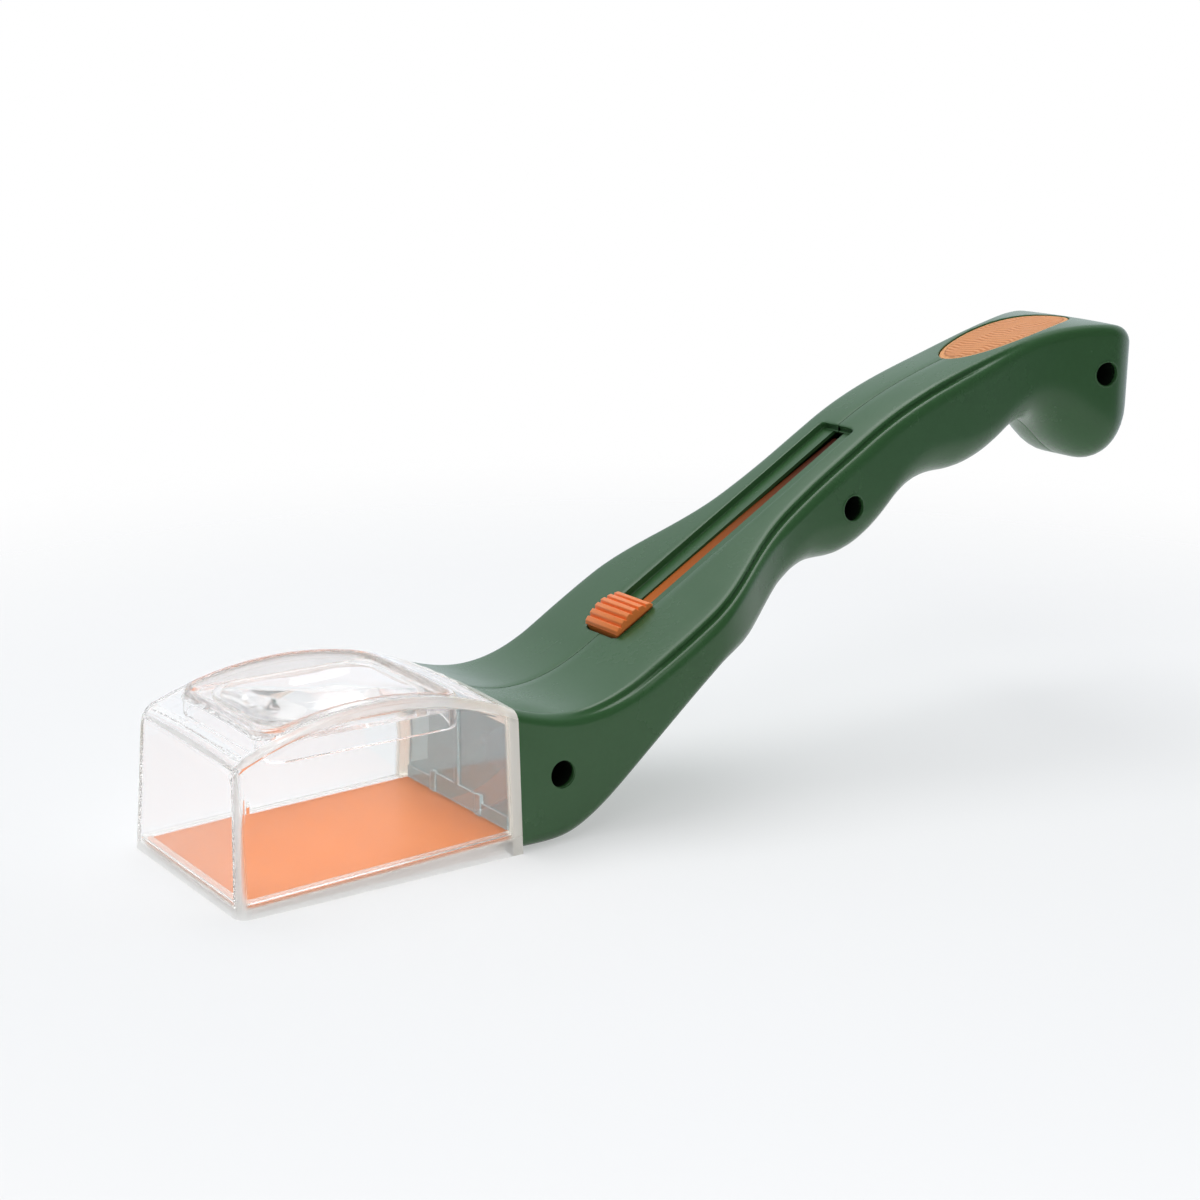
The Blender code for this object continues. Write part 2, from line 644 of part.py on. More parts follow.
def make_strap(parent):
    route = strap_route()
    half = STRAP_WIDTH / 2
    rings = []
    for index, point in enumerate(route):
        ahead = route[min(index + 1, len(route) - 1)] - route[max(index - 1, 0)]
        up = Vector((-ahead.z, 0.0, ahead.x)).normalized() * STRAP_THICKNESS / 2
        across = Vector((0.0, half, 0.0))
        rings.append([point - up - across, point - up + across, point + up + across, point + up - across])
    piece = add_piece("door_strap", loft(rings), parent, SHEET_FINISH)
    half_slit = SLIT_WIDTH / 2
    middle = BUTTON_STOP + BUTTON_LENGTH / 2
    reach = NECK_LENGTH / 2 + TOUCH
    window = box((middle - reach, -half_slit, -CARRIAGE_TOP - CUT_PAST),
                 (middle + reach, half_slit, -SLOT_DEPTH))
    boolean(piece, add_cutter("strap_window", window, parent, SLOT_PLACE))
    return piece


def button_profile():
    """Side view of the ribbed pad: an arch cut by one groove between each two ribs."""
    pitch = BUTTON_LENGTH / BUTTON_RIBS
    points = [(BUTTON_STOP, RUN)]
    for rib in range(BUTTON_RIBS):
        for share, drop in RIB_SHAPE:
            along = (rib + share) * pitch
            arch = math.sin(math.pi * along / BUTTON_LENGTH)
            height = BUTTON_END_HEIGHT + (BUTTON_MIDDLE_HEIGHT - BUTTON_END_HEIGHT) * arch
            points.append((BUTTON_STOP + along, max(height - drop * RIB_DEPTH, RUN + TOUCH)))
    points.append((BUTTON_STOP + BUTTON_LENGTH, RUN))
    return points


def make_button(parent):
    half = SLOT_WIDTH / 2 + BUTTON_OVERHANG
    profile = button_profile()
    pad = loft([[(x, y, z) for x, z in profile] for y in (-half, half)])
    piece = add_piece("slider_button", pad, parent, BUTTON_FINISH, SLOT_PLACE)
    inner = SLOT_WIDTH / 2 - RUN
    foot = box((BUTTON_STOP, -inner, -SLOT_DEPTH + RUN), (BUTTON_STOP + BUTTON_LENGTH, inner, RUN + TOUCH))
    boolean(piece, add_cutter("button_foot", foot, parent, SLOT_PLACE), "UNION")
    middle = BUTTON_STOP + BUTTON_LENGTH / 2
    neck_half = SLIT_WIDTH / 2 - RUN
    neck = box((middle - NECK_LENGTH / 2, -neck_half, -CARRIAGE_TOP + TOUCH),
               (middle + NECK_LENGTH / 2, neck_half, -SLOT_DEPTH + RUN + CUT_PAST / 2))
    boolean(piece, add_cutter("button_neck", neck, parent, SLOT_PLACE), "UNION")
    pilot = rod_along_z(BUTTON_SCREW_R + TOUCH, -CARRIAGE_TOP - CUT_PAST, RUN)
    boolean(piece, add_cutter("button_pilot", pilot, parent, SLOT_PLACE @ Matrix.Translation((middle, 0, 0))))
    return piece


def make_carriage(parent):
    middle = BUTTON_STOP + BUTTON_LENGTH / 2
    at_middle = SLOT_PLACE @ Matrix.Translation((middle, 0, 0))
    outline = round_rectangle(0.0, CARRIAGE_LENGTH, CARRIAGE_WIDTH, SLOT_CORNER)
    low = -CARRIAGE_TOP - CARRIAGE_THICKNESS
    piece = add_piece("slider_carriage", prism(outline, low, -CARRIAGE_TOP), parent, BUTTON_FINISH, at_middle)
    hole = rod_along_z(BUTTON_SCREW_R + TOUCH, low - CUT_PAST, -CARRIAGE_TOP + CUT_PAST)
    boolean(piece, add_cutter("carriage_hole", hole, parent, at_middle))
    seat = rod_along_z(BUTTON_SCREW_HEAD_R + TOUCH, low - CUT_PAST, low + BUTTON_SCREW_HEAD + TOUCH)
    boolean(piece, add_cutter("carriage_seat", seat, parent, at_middle))
    return piece


def make_button_screw(parent):
    middle = BUTTON_STOP + BUTTON_LENGTH / 2
    low = -CARRIAGE_TOP - CARRIAGE_THICKNESS
    shoulder = low + BUTTON_SCREW_HEAD
    tip = RUN - TOUCH
    rings = []
    for radius, height in ((BUTTON_SCREW_HEAD_R, low), (BUTTON_SCREW_HEAD_R, shoulder),
                           (BUTTON_SCREW_R, shoulder), (BUTTON_SCREW_R, tip)):
        rings.append([(x, y, height) for x, y in circle((0.0, 0.0), radius, SMALL_ROUND_STEPS)])
    at_middle = SLOT_PLACE @ Matrix.Translation((middle, 0, 0))
    return add_piece("slider_screw", loft(rings), parent, SCREW_FINISH, at_middle)


def screw_axes():
    """(name, (x, z)) of the three screws that hold the halves together."""
    return (
        ("front", SCREW_FRONT),
        ("middle", (SLOT_REAR.x + SCREW_MIDDLE[0], SLOT_REAR.z + SCREW_MIDDLE[1])),
        ("rear", (POMMEL_X + SCREW_REAR[0], POMMEL_Z + SCREW_REAR[1])),
    )


def inlay_body(grow, low, high):
    """Oval slab that follows the grip's top between two heights above it."""
    centre = SLOT_REAR.x + INLAY_CENTRE
    rings = []
    for level in (low, high):
        for share in OVAL_RINGS if level == low else OVAL_RINGS[::-1]:
            ring = []
            for step in range(OVAL_STEPS):
                turn = 2 * math.pi * step / OVAL_STEPS
                x = centre + share * (INLAY_LENGTH / 2 + grow) * math.cos(turn)
                y = share * (INLAY_WIDTH / 2 + grow) * math.sin(turn)
                ring.append((x, y, top_surface(x, y) + level))
            rings.append(ring)
    return loft(rings)


def make_handle_half(parent, name, side):
    """One half of the handle: hollow, with the slot's shelf, the screw bosses and the pad's recess."""
    edge = SPLIT / 2
    rings = []
    for x in handle_stations(HANDLE_END):
        rings.append([(x, side * y, z) for y, z in handle_half(x, 0.0, edge)])
    piece = add_piece(name, loft(rings), parent, HANDLE_FINISH)

    hollow_end = POMMEL_X + HOLLOW_SHARE * POMMEL_REACH
    rings = []
    for x in [-CUT_PAST] + handle_stations(hollow_end)[1:]:
        rings.append([(x, side * y, z) for y, z in handle_half(x, HANDLE_WALL, -CUT_PAST)])
    hollow = add_cutter(name + "_hollow", loft(rings), parent)
    border = SLOT_WIDTH / 2 + SHELF_BORDER
    shelf = box((-SHELF_BORDER, -border, -SLOT_DEPTH - SHELF),
                (SLOT_LENGTH + SHELF_BORDER, border, HANDLE_WALL))
    boolean(hollow, add_cutter(name + "_shelf", shelf, parent, SLOT_PLACE))
    outside = side * CHAMBER_WIDTH
    for screw, axis in screw_axes():
        boss = rod_along_y(axis, BOSS_R, *sorted((-side * 2 * CUT_PAST, outside)))
        boolean(hollow, add_cutter("%s_boss_%s" % (name, screw), boss, parent))
    boolean(piece, hollow)

    outline = round_rectangle(SLOT_LENGTH / 2, SLOT_LENGTH, SLOT_WIDTH, SLOT_CORNER)
    recess = prism(outline, -SLOT_DEPTH, HANDLE_WALL)
    boolean(piece, add_cutter(name + "_slot", recess, parent, SLOT_PLACE))
    slit = box((SLIT_END, -SLIT_WIDTH / 2, -SLOT_DEPTH - SHELF - CUT_PAST),
               (SLOT_LENGTH - SLIT_END, SLIT_WIDTH / 2, -SLOT_DEPTH + CUT_PAST))
    boolean(piece, add_cutter(name + "_slit", slit, parent, SLOT_PLACE))
    recess = inlay_body(TOUCH, -INLAY_DEPTH, HANDLE_WALL)
    boolean(piece, add_cutter(name + "_inlay", recess, parent))
    for screw, axis in screw_axes():
        if side < 0:
            bore = rod_along_y(axis, COUNTERBORE_R, -CHAMBER_WIDTH, -edge - BOSS_FLOOR)
            boolean(piece, add_cutter("counterbore_%s" % screw, bore, parent))
            reach = (-edge - BOSS_FLOOR - CUT_PAST, CUT_PAST)
        else:
            reach = (-CUT_PAST, edge + SCREW_BITE)
        hole = rod_along_y(axis, SCREW_SHANK_R + TOUCH, *reach, SMALL_ROUND_STEPS)
        boolean(piece, add_cutter("%s_screw_hole_%s" % (name, screw), hole, parent))
    return piece


def make_handle_screws(parent):
    seat = -SPLIT / 2 - BOSS_FLOOR - TOUCH
    tip = SPLIT / 2 + SCREW_BITE - TOUCH
    for screw, axis in screw_axes():
        rings = []
        for radius, y in ((SCREW_HEAD_R, seat - SCREW_HEAD), (SCREW_HEAD_R, seat),
                          (SCREW_SHANK_R, seat), (SCREW_SHANK_R, tip)):
            rings.append([(x, y, z) for x, z in circle(axis, radius, ROUND_STEPS)])
        name = "handle_screw_" + screw
        piece = add_piece(name, loft(rings), parent, SCREW_FINISH)
        arm = SCREW_HEAD_R * CROSS_REACH
        half = CROSS_WIDTH / 2
        face = seat - SCREW_HEAD
        cross = [(half, half), (half, arm), (-half, arm), (-half, half), (-arm, half), (-arm, -half),
                 (-half, -half), (-half, -arm), (half, -arm), (half, -half), (arm, -half), (arm, half)]
        rings = []
        for y in (face - CUT_PAST, face + CROSS_DEPTH):
            rings.append([(axis[0] + x, y, axis[1] + z) for x, z in cross])
        boolean(piece, add_cutter("cross_" + screw, loft(rings), parent))


def make_inlay(parent):
    body = inlay_body(0.0, TOUCH - INLAY_DEPTH, -INLAY_SUNK)
    return add_piece("thumb_inlay", body, parent, PAD_FINISH)


def main():
    for piece in list(bpy.data.objects):
        bpy.data.objects.remove(piece, do_unlink=True)
    root = bpy.data.objects.new("insect_catcher", None)
    bpy.context.collection.objects.link(root)
    root.location = FRAME_SHIFT
    make_chamber(root)
    make_back_wall(root)
    make_lens_frame(root)
    make_lens(root)
    make_door(root)
    make_strap(root)
    make_button(root)
    make_carriage(root)
    make_button_screw(root)
    make_handle_half(root, "handle_shell_left", -1)
    make_handle_half(root, "handle_shell_right", 1)
    make_handle_screws(root)
    make_inlay(root)


main()
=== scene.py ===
import math

import bmesh
import bpy
from mathutils import Matrix, Vector


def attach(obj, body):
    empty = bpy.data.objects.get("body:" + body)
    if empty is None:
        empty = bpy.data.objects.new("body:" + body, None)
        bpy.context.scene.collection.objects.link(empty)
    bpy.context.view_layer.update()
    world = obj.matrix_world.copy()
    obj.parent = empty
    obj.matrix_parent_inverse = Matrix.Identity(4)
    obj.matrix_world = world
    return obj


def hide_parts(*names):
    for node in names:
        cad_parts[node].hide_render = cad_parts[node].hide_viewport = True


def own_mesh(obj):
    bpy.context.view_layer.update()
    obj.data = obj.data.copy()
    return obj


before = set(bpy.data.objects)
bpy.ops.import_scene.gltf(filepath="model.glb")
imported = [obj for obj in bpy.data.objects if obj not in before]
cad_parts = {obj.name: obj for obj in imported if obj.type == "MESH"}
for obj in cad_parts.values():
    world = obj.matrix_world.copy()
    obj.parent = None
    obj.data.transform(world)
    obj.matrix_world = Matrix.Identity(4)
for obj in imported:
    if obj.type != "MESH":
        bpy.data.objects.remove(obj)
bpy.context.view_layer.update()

# Sizes repeated from the solids, in metres, drawn from the plane where box and handle meet
CHAMBER_LENGTH = 0.071
CHAMBER_WIDTH = 0.054
CHAMBER_HEIGHT = 0.0333
ROOF_RISE = 0.0077
ROOF_CROWN = 0.0007
SIDE_DRAFT = 0.0022
LENS_CENTRE = -0.0368
FRAME_LENGTH = 0.0490
FRAME_WIDTH = 0.0426
FRAME_CORNER = 0.0050
FRAME_WALL = 0.0014
FRAME_FLOOR = 0.0365
SKIRT_FOOT = 0.0310
LENS_BORDER = 0.0033
LENS_CORNER = 0.0100
LENS_SEAT = 0.0017
DOOR_LEVEL = 0.0037
DOOR_FALL = 0.0020
DOOR_EDGE = 0.0031
SLOT_FRONT = Vector((0.0400, 0.0, 0.0396))
SLOT_LENGTH = 0.0860
SLOT_ANGLE = math.radians(30.65)
SLOT_WIDTH = 0.0126
SLOT_DEPTH = 0.0018
SLOT_CORNER = 0.0012
SHELF = 0.0009
SLIT_WIDTH = 0.0041
SLIT_END = 0.0005
BUTTON_LENGTH = 0.0123
BUTTON_STOP = 0.0006
BUTTON_RIBS = 6
TOP_CROWN = 0.0009
POMMEL_CROWN = 0.0004
POMMEL_REACH = 0.0180
POMMEL_POWER = 2.8
END_SHARE = 0.996
ROOT_END = 0.0550
COUNTERBORE = 0.0033
INLAY_LENGTH = 0.0440
INLAY_WIDTH = 0.0186
INLAY_DEPTH = 0.0014
INLAY_SUNK = 0.0003

SLOT_ALONG = Vector((math.cos(SLOT_ANGLE), 0.0, math.sin(SLOT_ANGLE)))
SLOT_UP = Vector((-math.sin(SLOT_ANGLE), 0.0, math.cos(SLOT_ANGLE)))
SLOT_REAR = SLOT_FRONT + SLOT_LENGTH * SLOT_ALONG
SLOT_SLOPE = math.tan(SLOT_ANGLE)
POMMEL_X = SLOT_REAR.x + 0.0761
POMMEL_Z = SLOT_REAR.z + 0.0224
POMMEL_MIDDLE = POMMEL_Z - 0.0186
HANDLE_END = POMMEL_X + END_SHARE * POMMEL_REACH
INLAY_CENTRE = SLOT_REAR.x + 0.0581
SHIFT = Vector(((CHAMBER_LENGTH - HANDLE_END) / 2, 0.0, 0.0))
SCREWS = {
    "front": (0.0114, 0.0166),
    "middle": (SLOT_REAR.x - 0.0065, SLOT_REAR.z - 0.0184),
    "rear": (POMMEL_X + 0.0025, POMMEL_Z - 0.0134),
}


# Materials


class Wire:
    """A socket's output in arithmetic: each operation adds one Math node."""

    def __init__(self, finish, socket):
        self.finish = finish
        self.socket = socket

    def math(self, operation, *terms):
        return self.finish.add("Math", {"operation": operation}, dict(enumerate(terms)))

    def __add__(self, other):
        return self.math("ADD", self, other)

    def __sub__(self, other):
        return self.math("SUBTRACT", self, other)

    def __rsub__(self, other):
        return self.math("SUBTRACT", other, self)

    def __mul__(self, other):
        return self.math("MULTIPLY", self, other)

    def __pow__(self, other):
        return self.math("POWER", self, other)

    def step(self, low, high, to_low=0.0, to_high=1.0):
        """Eases from one value to another while this one goes from low to high."""
        sockets = {"Value": self, "From Min": low, "From Max": high, "To Min": to_low, "To Max": to_high}
        return self.finish.add("MapRange", {"interpolation_type": "SMOOTHSTEP"}, sockets)

    __radd__ = __add__
    __rmul__ = __mul__


class Finish:
    """One material's nodes."""

    def __init__(self, tree):
        self.tree = tree
        tree.nodes.clear()

    def add(self, kind, settings=None, sockets=None, out=0):
        """Adds a node, sets its settings and then its sockets, and returns one of its outputs."""
        node = self.tree.nodes.new("ShaderNode" + kind)
        for name, value in (settings or {}).items():
            if name == "stops":
                while len(node.color_ramp.elements) < len(value):
                    node.color_ramp.elements.new(1.0)
                for element, (place, color) in zip(node.color_ramp.elements, value):
                    element.position = place
                    element.color = color
            else:
                setattr(node, name, value)
        for name, value in (sockets or {}).items():
            if isinstance(value, Wire):
                self.tree.links.new(value.socket, node.inputs[name])
            else:
                node.inputs[name].default_value = value
        return Wire(self, node.outputs[out]) if node.outputs else None


def new_finish(name):
    material = bpy.data.materials.new(name)
    material.use_nodes = True
    return material, Finish(material.node_tree)


def grey(value):
    return (value, value, value, 1.0)


def noise(finish, place, scale, detail=3.0, roughness=0.5):
    sockets = {"Vector": place, "Scale": scale, "Detail": detail, "Roughness": roughness}
    return finish.add("TexNoise", None, sockets)


def remap(finish, value, low, high, to_low, to_high):
    sockets = {"Value": value, "From Min": low, "From Max": high, "To Min": to_low, "To Max": to_high}
    return finish.add("MapRange", None, sockets)


def blend_color(finish, share, first, second):
    settings = {"data_type": "RGBA"}
    return finish.add("Mix", settings, {0: share, 6: first, 7: second}, out=2)


def darken(finish, color, shade):
    settings = {"data_type": "RGBA", "blend_type": "MULTIPLY"}
    return finish.add("Mix", settings, {0: 1.0, 6: color, 7: shade}, out=2)


def axis_of(finish, place, axis):
    return finish.add("SeparateXYZ", None, {0: place}, out=axis)


DRIFT_SCALE = 28.0         # slow changes of colour
FLECK_SCALE = 900.0        # specks in the colour
FLECK_SHARE = 0.25
CLOUD_SCALE = 60.0         # changes of sheen
GRAIN_DEPTH = 0.00012


def moulded(name, color, pale, roughness, grain, grain_scale, ior=1.5, shade=None):
    """Moulded plastic: slow drift of colour, cloudy sheen and a fine spark-eroded grain.

    shade, where given, takes the finish, the place and the colour, and returns the colour with painted light
    and shade on it.
    """
    material, finish = new_finish(name)
    place = finish.add("TexCoord", None, None, out="Object")
    drift = noise(finish, place, DRIFT_SCALE, 4.0)
    fleck = noise(finish, place, FLECK_SCALE, 2.0)
    share = remap(finish, drift * (1 - FLECK_SHARE) + fleck * FLECK_SHARE, 0.35, 0.65, 0.0, 1.0)
    skin = blend_color(finish, share, color, pale)
    if shade:
        skin = shade(finish, place, skin)
    cloud = noise(finish, place, CLOUD_SCALE, 5.0, 0.6)
    sheen = remap(finish, cloud, 0.3, 0.7, roughness - 0.04, roughness + 0.05)
    pits = noise(finish, place, grain_scale, 2.0, 0.6)
    bump = finish.add("Bump", None, {"Strength": grain, "Distance": GRAIN_DEPTH, "Height": pits})
    sockets = {"Base Color": skin, "Roughness": sheen, "Normal": bump, "IOR": ior}
    shader = finish.add("BsdfPrincipled", None, sockets)
    finish.add("OutputMaterial", None, {"Surface": shader})
    return material


FLOW_SCALE = 45.0          # waves from the flow into the mould
FLOW_DEPTH = 0.0004
HAZE_SCALE = 160.0
HAZE_SPREAD = 0.03         # how much rougher the haziest places are
EDGE_MILK = (0.96, 0.920, 0.840, 1)
EDGE_REACH = 0.0030        # how far the frosted look reaches in from an edge
EDGE_FROST = 0.48          # roughness added along the box's corners
RIM_FROST = 0.30           # roughness added along its rim
RIM_FADE = (0.0040, 0.0052)         # heights over which the rim's frost ends
EDGE_CREAM = 0.17          # milky share along the corners and the rim
FLANGE_MILK = 0.80         # milky share of the flange
FLANGE_FADE = (-0.0034, -0.0022)    # places over which the flange's milk begins
FRAME_HAZE = 0.22          # roughness added to the magnifier's frame
FRAME_CREAM = 0.05         # and its milky share
FRAME_FADE = 0.0010        # how far above and below the frame's floor these change


def clear_plastic(name, color, roughness, wave, ior, clearness, edges=None):
    """Clear moulded plastic with faint flow waves; lamps shine through it.

    edges takes the finish and the place, and returns how frosted and how milky the plastic is there.
    """
    material, finish = new_finish(name)
    place = finish.add("TexCoord", None, None, out="Object")
    flow = noise(finish, place, FLOW_SCALE, 2.0)
    bump = finish.add("Bump", None, {"Strength": wave, "Distance": FLOW_DEPTH, "Height": flow})
    cloud = noise(finish, place, HAZE_SCALE, 3.0)
    haze = remap(finish, cloud, 0.4, 0.8, roughness, roughness + HAZE_SPREAD)
    sockets = {"Base Color": color, "Roughness": haze, "Normal": bump, "IOR": ior,
               "Transmission Weight": clearness}
    if edges:
        frost, share = edges(finish, place)
        shader = finish.add("BsdfPrincipled", None, sockets | {"Roughness": haze + frost})
        milk = finish.add("BsdfPrincipled", None, {"Base Color": EDGE_MILK, "Roughness": haze, "IOR": ior})
        shader = finish.add("MixShader", None, {0: share, 1: shader, 2: milk})
    else:
        shader = finish.add("BsdfPrincipled", None, sockets)
    window = finish.add("BsdfTransparent", None, {"Color": color})
    lamp = finish.add("LightPath", None, None, out="Is Shadow Ray")
    mixed = finish.add("MixShader", None, {0: lamp, 1: shader, 2: window})
    finish.add("OutputMaterial", None, {"Surface": mixed})
    return material


def box_edges(finish, place):
    """The box's corners and rim look frosted, and the flange beside the handle milky."""
    x = axis_of(finish, place, "X") - SHIFT.x
    y = axis_of(finish, place, "Y")
    z = axis_of(finish, place, "Z")
    half = CHAMBER_LENGTH / 2
    radius = (half**2 + ROOF_RISE**2) / (2 * ROOF_RISE)
    roof = (radius**2 - (x + half) ** 2) ** 0.5 + (CHAMBER_HEIGHT + ROOF_RISE - radius)
    below = roof - z
    beside = CHAMBER_WIDTH / 2 - z * (SIDE_DRAFT / CHAMBER_HEIGHT) - y.math("ABSOLUTE", y)
    behind_front = x + CHAMBER_LENGTH
    near = below.math("MINIMUM", below, beside)
    far = below.math("MAXIMUM", below, beside)
    second = near.math("MAXIMUM", near, far.math("MINIMUM", far, behind_front))
    corner = second.step(0.4 * EDGE_REACH, EDGE_REACH, EDGE_FROST, 0.0)
    rim = (z - x * (DOOR_FALL / CHAMBER_LENGTH)).step(*RIM_FADE, RIM_FROST, 0.0)
    frost = corner.math("MAXIMUM", corner, rim)
    milk = x.step(*FLANGE_FADE, 0.0, FLANGE_MILK)
    return frost, milk.math("MAXIMUM", milk, frost.step(0.0, RIM_FROST, 0.0, EDGE_CREAM))


def frame_frost(finish, place):
    """The magnifier's frame looks frosted above its floor, and its skirt clear."""
    z = axis_of(finish, place, "Z")
    lip = z.step(FRAME_FLOOR - FRAME_FADE, FRAME_FLOOR + FRAME_FADE)
    return lip * FRAME_HAZE, lip * FRAME_CREAM


def dark_steel(name):
    """Oxidised steel with fine stains."""
    material, finish = new_finish(name)
    place = finish.add("TexCoord", None, None, out="Object")
    stain = noise(finish, place, 700.0, 4.0)
    share = remap(finish, stain, 0.3, 0.7, 0.0, 1.0)
    color = blend_color(finish, share, (0.05, 0.05, 0.055, 1), (0.11, 0.11, 0.12, 1))
    rough = remap(finish, stain, 0.3, 0.7, 0.3, 0.5)
    shader = finish.add("BsdfPrincipled", None, {"Base Color": color, "Roughness": rough, "Metallic": 1.0})
    finish.add("OutputMaterial", None, {"Surface": shader})
    return material


PAD_BORDER = 0.00080       # smooth ring round the ribs
RIB_PITCH = 0.00150
RIB_HEIGHT = 0.00034
RIB_SLANT = 0.27           # ribs lean this much along the pad for each unit across it
# The ribs' waves: (height, length across the pad, length along it)
RIB_WAVES = ((0.00042, 0.0088, 0.031), (0.00020, 0.0046, -0.017))
# Squared share of the way out to the pad's edge: end of the ribs, painted shade line, painted highlight ring
RIBS_STOP = 0.80
LINE_FULL = 0.83
LINE_STOP = 0.85
RING_FULL = 0.88
# Painted shade in the rib valleys and in the line round the ribs, and a painted highlight on the ring
VALLEY_PAINTED_SHADE = (0.70, 0.57, 0.46, 1)
RING_PAINTED_HIGHLIGHT = (0.80, 0.38, 0.13, 1)
RING_LINE_PAINTED_SHADE = (0.34, 0.12, 0.035, 1)


def painted_rib_shade(finish, place, skin):
    """Painted shade in the valleys between the pad's ribs, and a painted shade line and a painted highlight
    ring round them.
    """
    x = axis_of(finish, place, "X")
    y = axis_of(finish, place, "Y")
    along = x - SHIFT.x
    phase = along + y * RIB_SLANT
    for height, across, length in RIB_WAVES:
        turn = (y * (1 / across) + along * (1 / length)) * (2 * math.pi)
        phase = phase + turn.math("SINE", turn) * height
    turn = phase * (2 * math.pi / RIB_PITCH)
    crest = turn.math("COSINE", turn).step(-1.0, 0.3)
    out = ((along - INLAY_CENTRE) * (2 / INLAY_LENGTH)) ** 2 + (y * (2 / INLAY_WIDTH)) ** 2
    dark = darken(finish, skin, VALLEY_PAINTED_SHADE)
    ribbed = blend_color(finish, (1 - crest) * out.step(LINE_STOP, RIBS_STOP), skin, dark)
    ringed = blend_color(finish, out.step(LINE_STOP, RING_FULL) * 0.6, ribbed, RING_PAINTED_HIGHLIGHT)
    line = out.step(RIBS_STOP, LINE_FULL) * out.step(RING_FULL, LINE_STOP)
    return blend_color(finish, line * 0.55, ringed, RING_LINE_PAINTED_SHADE)


# Painted shade laid over the tail towards the slot's rear end
TAIL_PAINTED_SHADE = (0.10, 0.06, 0.06, 1)


def painted_tail_shade(finish, place, skin):
    """Painted shade: the tail darkens towards the slot's rear end, where it sinks away into the slit."""
    x = axis_of(finish, place, "X") - SHIFT.x
    dark = darken(finish, skin, TAIL_PAINTED_SHADE)
    return blend_color(finish, x.step(SLOT_FRONT.x, SLOT_REAR.x), skin, dark)


GREEN = moulded("green_satin", (0.0395, 0.116, 0.0385, 1), (0.045, 0.128, 0.046, 1),
                0.25, 0.14, 2600.0, 1.42)
# Painted shade: the handle's green darkened nearly to black for the deep screw wells
WELL_IN_SHADE = moulded("green_in_shade", (0.003, 0.006, 0.003, 1), (0.004, 0.008, 0.004, 1),
               0.6, 0.14, 2600.0, 1.3)
ORANGE = moulded("orange_moulding", (0.92, 0.245, 0.052, 1), (0.97, 0.270, 0.064, 1),
                 0.40, 0.14, 2600.0, 1.4)
SHEET = moulded("orange_sheet", (0.64, 0.168, 0.0245, 1), (0.69, 0.193, 0.034, 1),
                0.34, 0.10, 1500.0, 1.4)
# The tail's orange is the sheet's orange made darker: painted shade for the slit it lies in
TAIL_IN_SHADE = moulded("orange_tail", (0.56, 0.140, 0.015, 1), (0.61, 0.162, 0.022, 1),
               0.6, 0.10, 1500.0, 1.25, painted_tail_shade)
# The pad's colour carries painted shade in its rib valleys and a painted highlight ring
PAD = moulded("orange_pad", (0.76, 0.315, 0.114, 1), (0.83, 0.360, 0.140, 1),
              0.55, 0.2, 2200.0, 1.4, painted_rib_shade)
CLEAR = clear_plastic("clear_shell", (0.990, 0.993, 0.996, 1), 0.02, 0.12, 1.5, 1.0, frame_frost)
BACK = clear_plastic("clear_back", (0.870, 0.985, 1.000, 1), 0.05, 0.12, 1.5, 0.80)
BOX = clear_plastic("clear_box", (0.990, 0.993, 0.996, 1), 0.01, 0.12, 1.5, 1.0, box_edges)
LENS = clear_plastic("clear_lens", (0.99, 0.99, 0.985, 1), 0.0, 0.02, 1.49, 0.985)
STEEL = dark_steel("dark_screw")


# Shapes


def curve_through(knots):
    """Smooth function through (place, value, slope) knots."""
    def value(x):
        if x <= knots[0][0]:
            return knots[0][1] + (x - knots[0][0]) * knots[0][2]
        for (x0, v0, s0), (x1, v1, s1) in zip(knots, knots[1:]):
            if x <= x1:
                span = x1 - x0
                t = (x - x0) / span
                rise = (2 * t**3 - 3 * t**2 + 1) * v0 + (3 * t**2 - 2 * t**3) * v1
                return rise + span * ((t**3 - 2 * t**2 + t) * s0 + (t**3 - t**2) * s1)
        return knots[-1][1] + (x - knots[-1][0]) * knots[-1][2]
    return value


def behind_slot(knots, lift=0.0):
    """Knots whose places are measured from the slot's rear end."""
    return [(SLOT_REAR.x + along, lift + value, slope) for along, value, slope in knots]


ROOF_HALF = CHAMBER_WIDTH / 2 - SIDE_DRAFT
base_top = curve_through([
    (0.0, CHAMBER_HEIGHT, -0.35), (0.0140, 0.03045, 0.0),
    (SLOT_FRONT.x - 0.004, SLOT_FRONT.z - 0.004 * SLOT_SLOPE, SLOT_SLOPE),
    (SLOT_REAR.x, SLOT_REAR.z, SLOT_SLOPE),
    (SLOT_REAR.x + 0.0341, SLOT_REAR.z + 0.0138, 0.29), (POMMEL_X, POMMEL_Z, 0.0)])
base_under = curve_through(
    [(0.0, 0.0006, -0.03), (0.0110, 0.0006, 0.08), (0.0290, 0.0102, 0.85), (0.0560, 0.0326, 0.70)]
    + behind_slot([(-0.0440, -0.0460, 0.40), (-0.0270, -0.0352, 0.62), (-0.0110, -0.0319, 0.0),
                   (0.0080, -0.0220, 1.0), (0.0290, -0.0140, 0.0), (0.0490, -0.0072, 0.72),
                   (0.0595, -0.0033, 0.0), (0.0700, -0.0085, -0.88), (0.0830, -0.0167, -0.25)], SLOT_REAR.z))
base_half = curve_through(
    [(0.0, ROOF_HALF, 0.12), (0.018, ROOF_HALF + 0.0012, 0.04), (ROOT_END, ROOF_HALF + 0.0024, -0.08)]
    + behind_slot([(-0.0440, 0.0219, -0.52), (-0.0280, 0.0157, -0.16), (-0.0100, 0.0144, 0.0),
                   (0.0330, 0.0136, -0.03), (0.0490, 0.0132, 0.0), (0.0670, 0.0151, 0.26),
                   (0.0790, 0.0187, 0.31), (0.0890, 0.0195, 0.0)]))
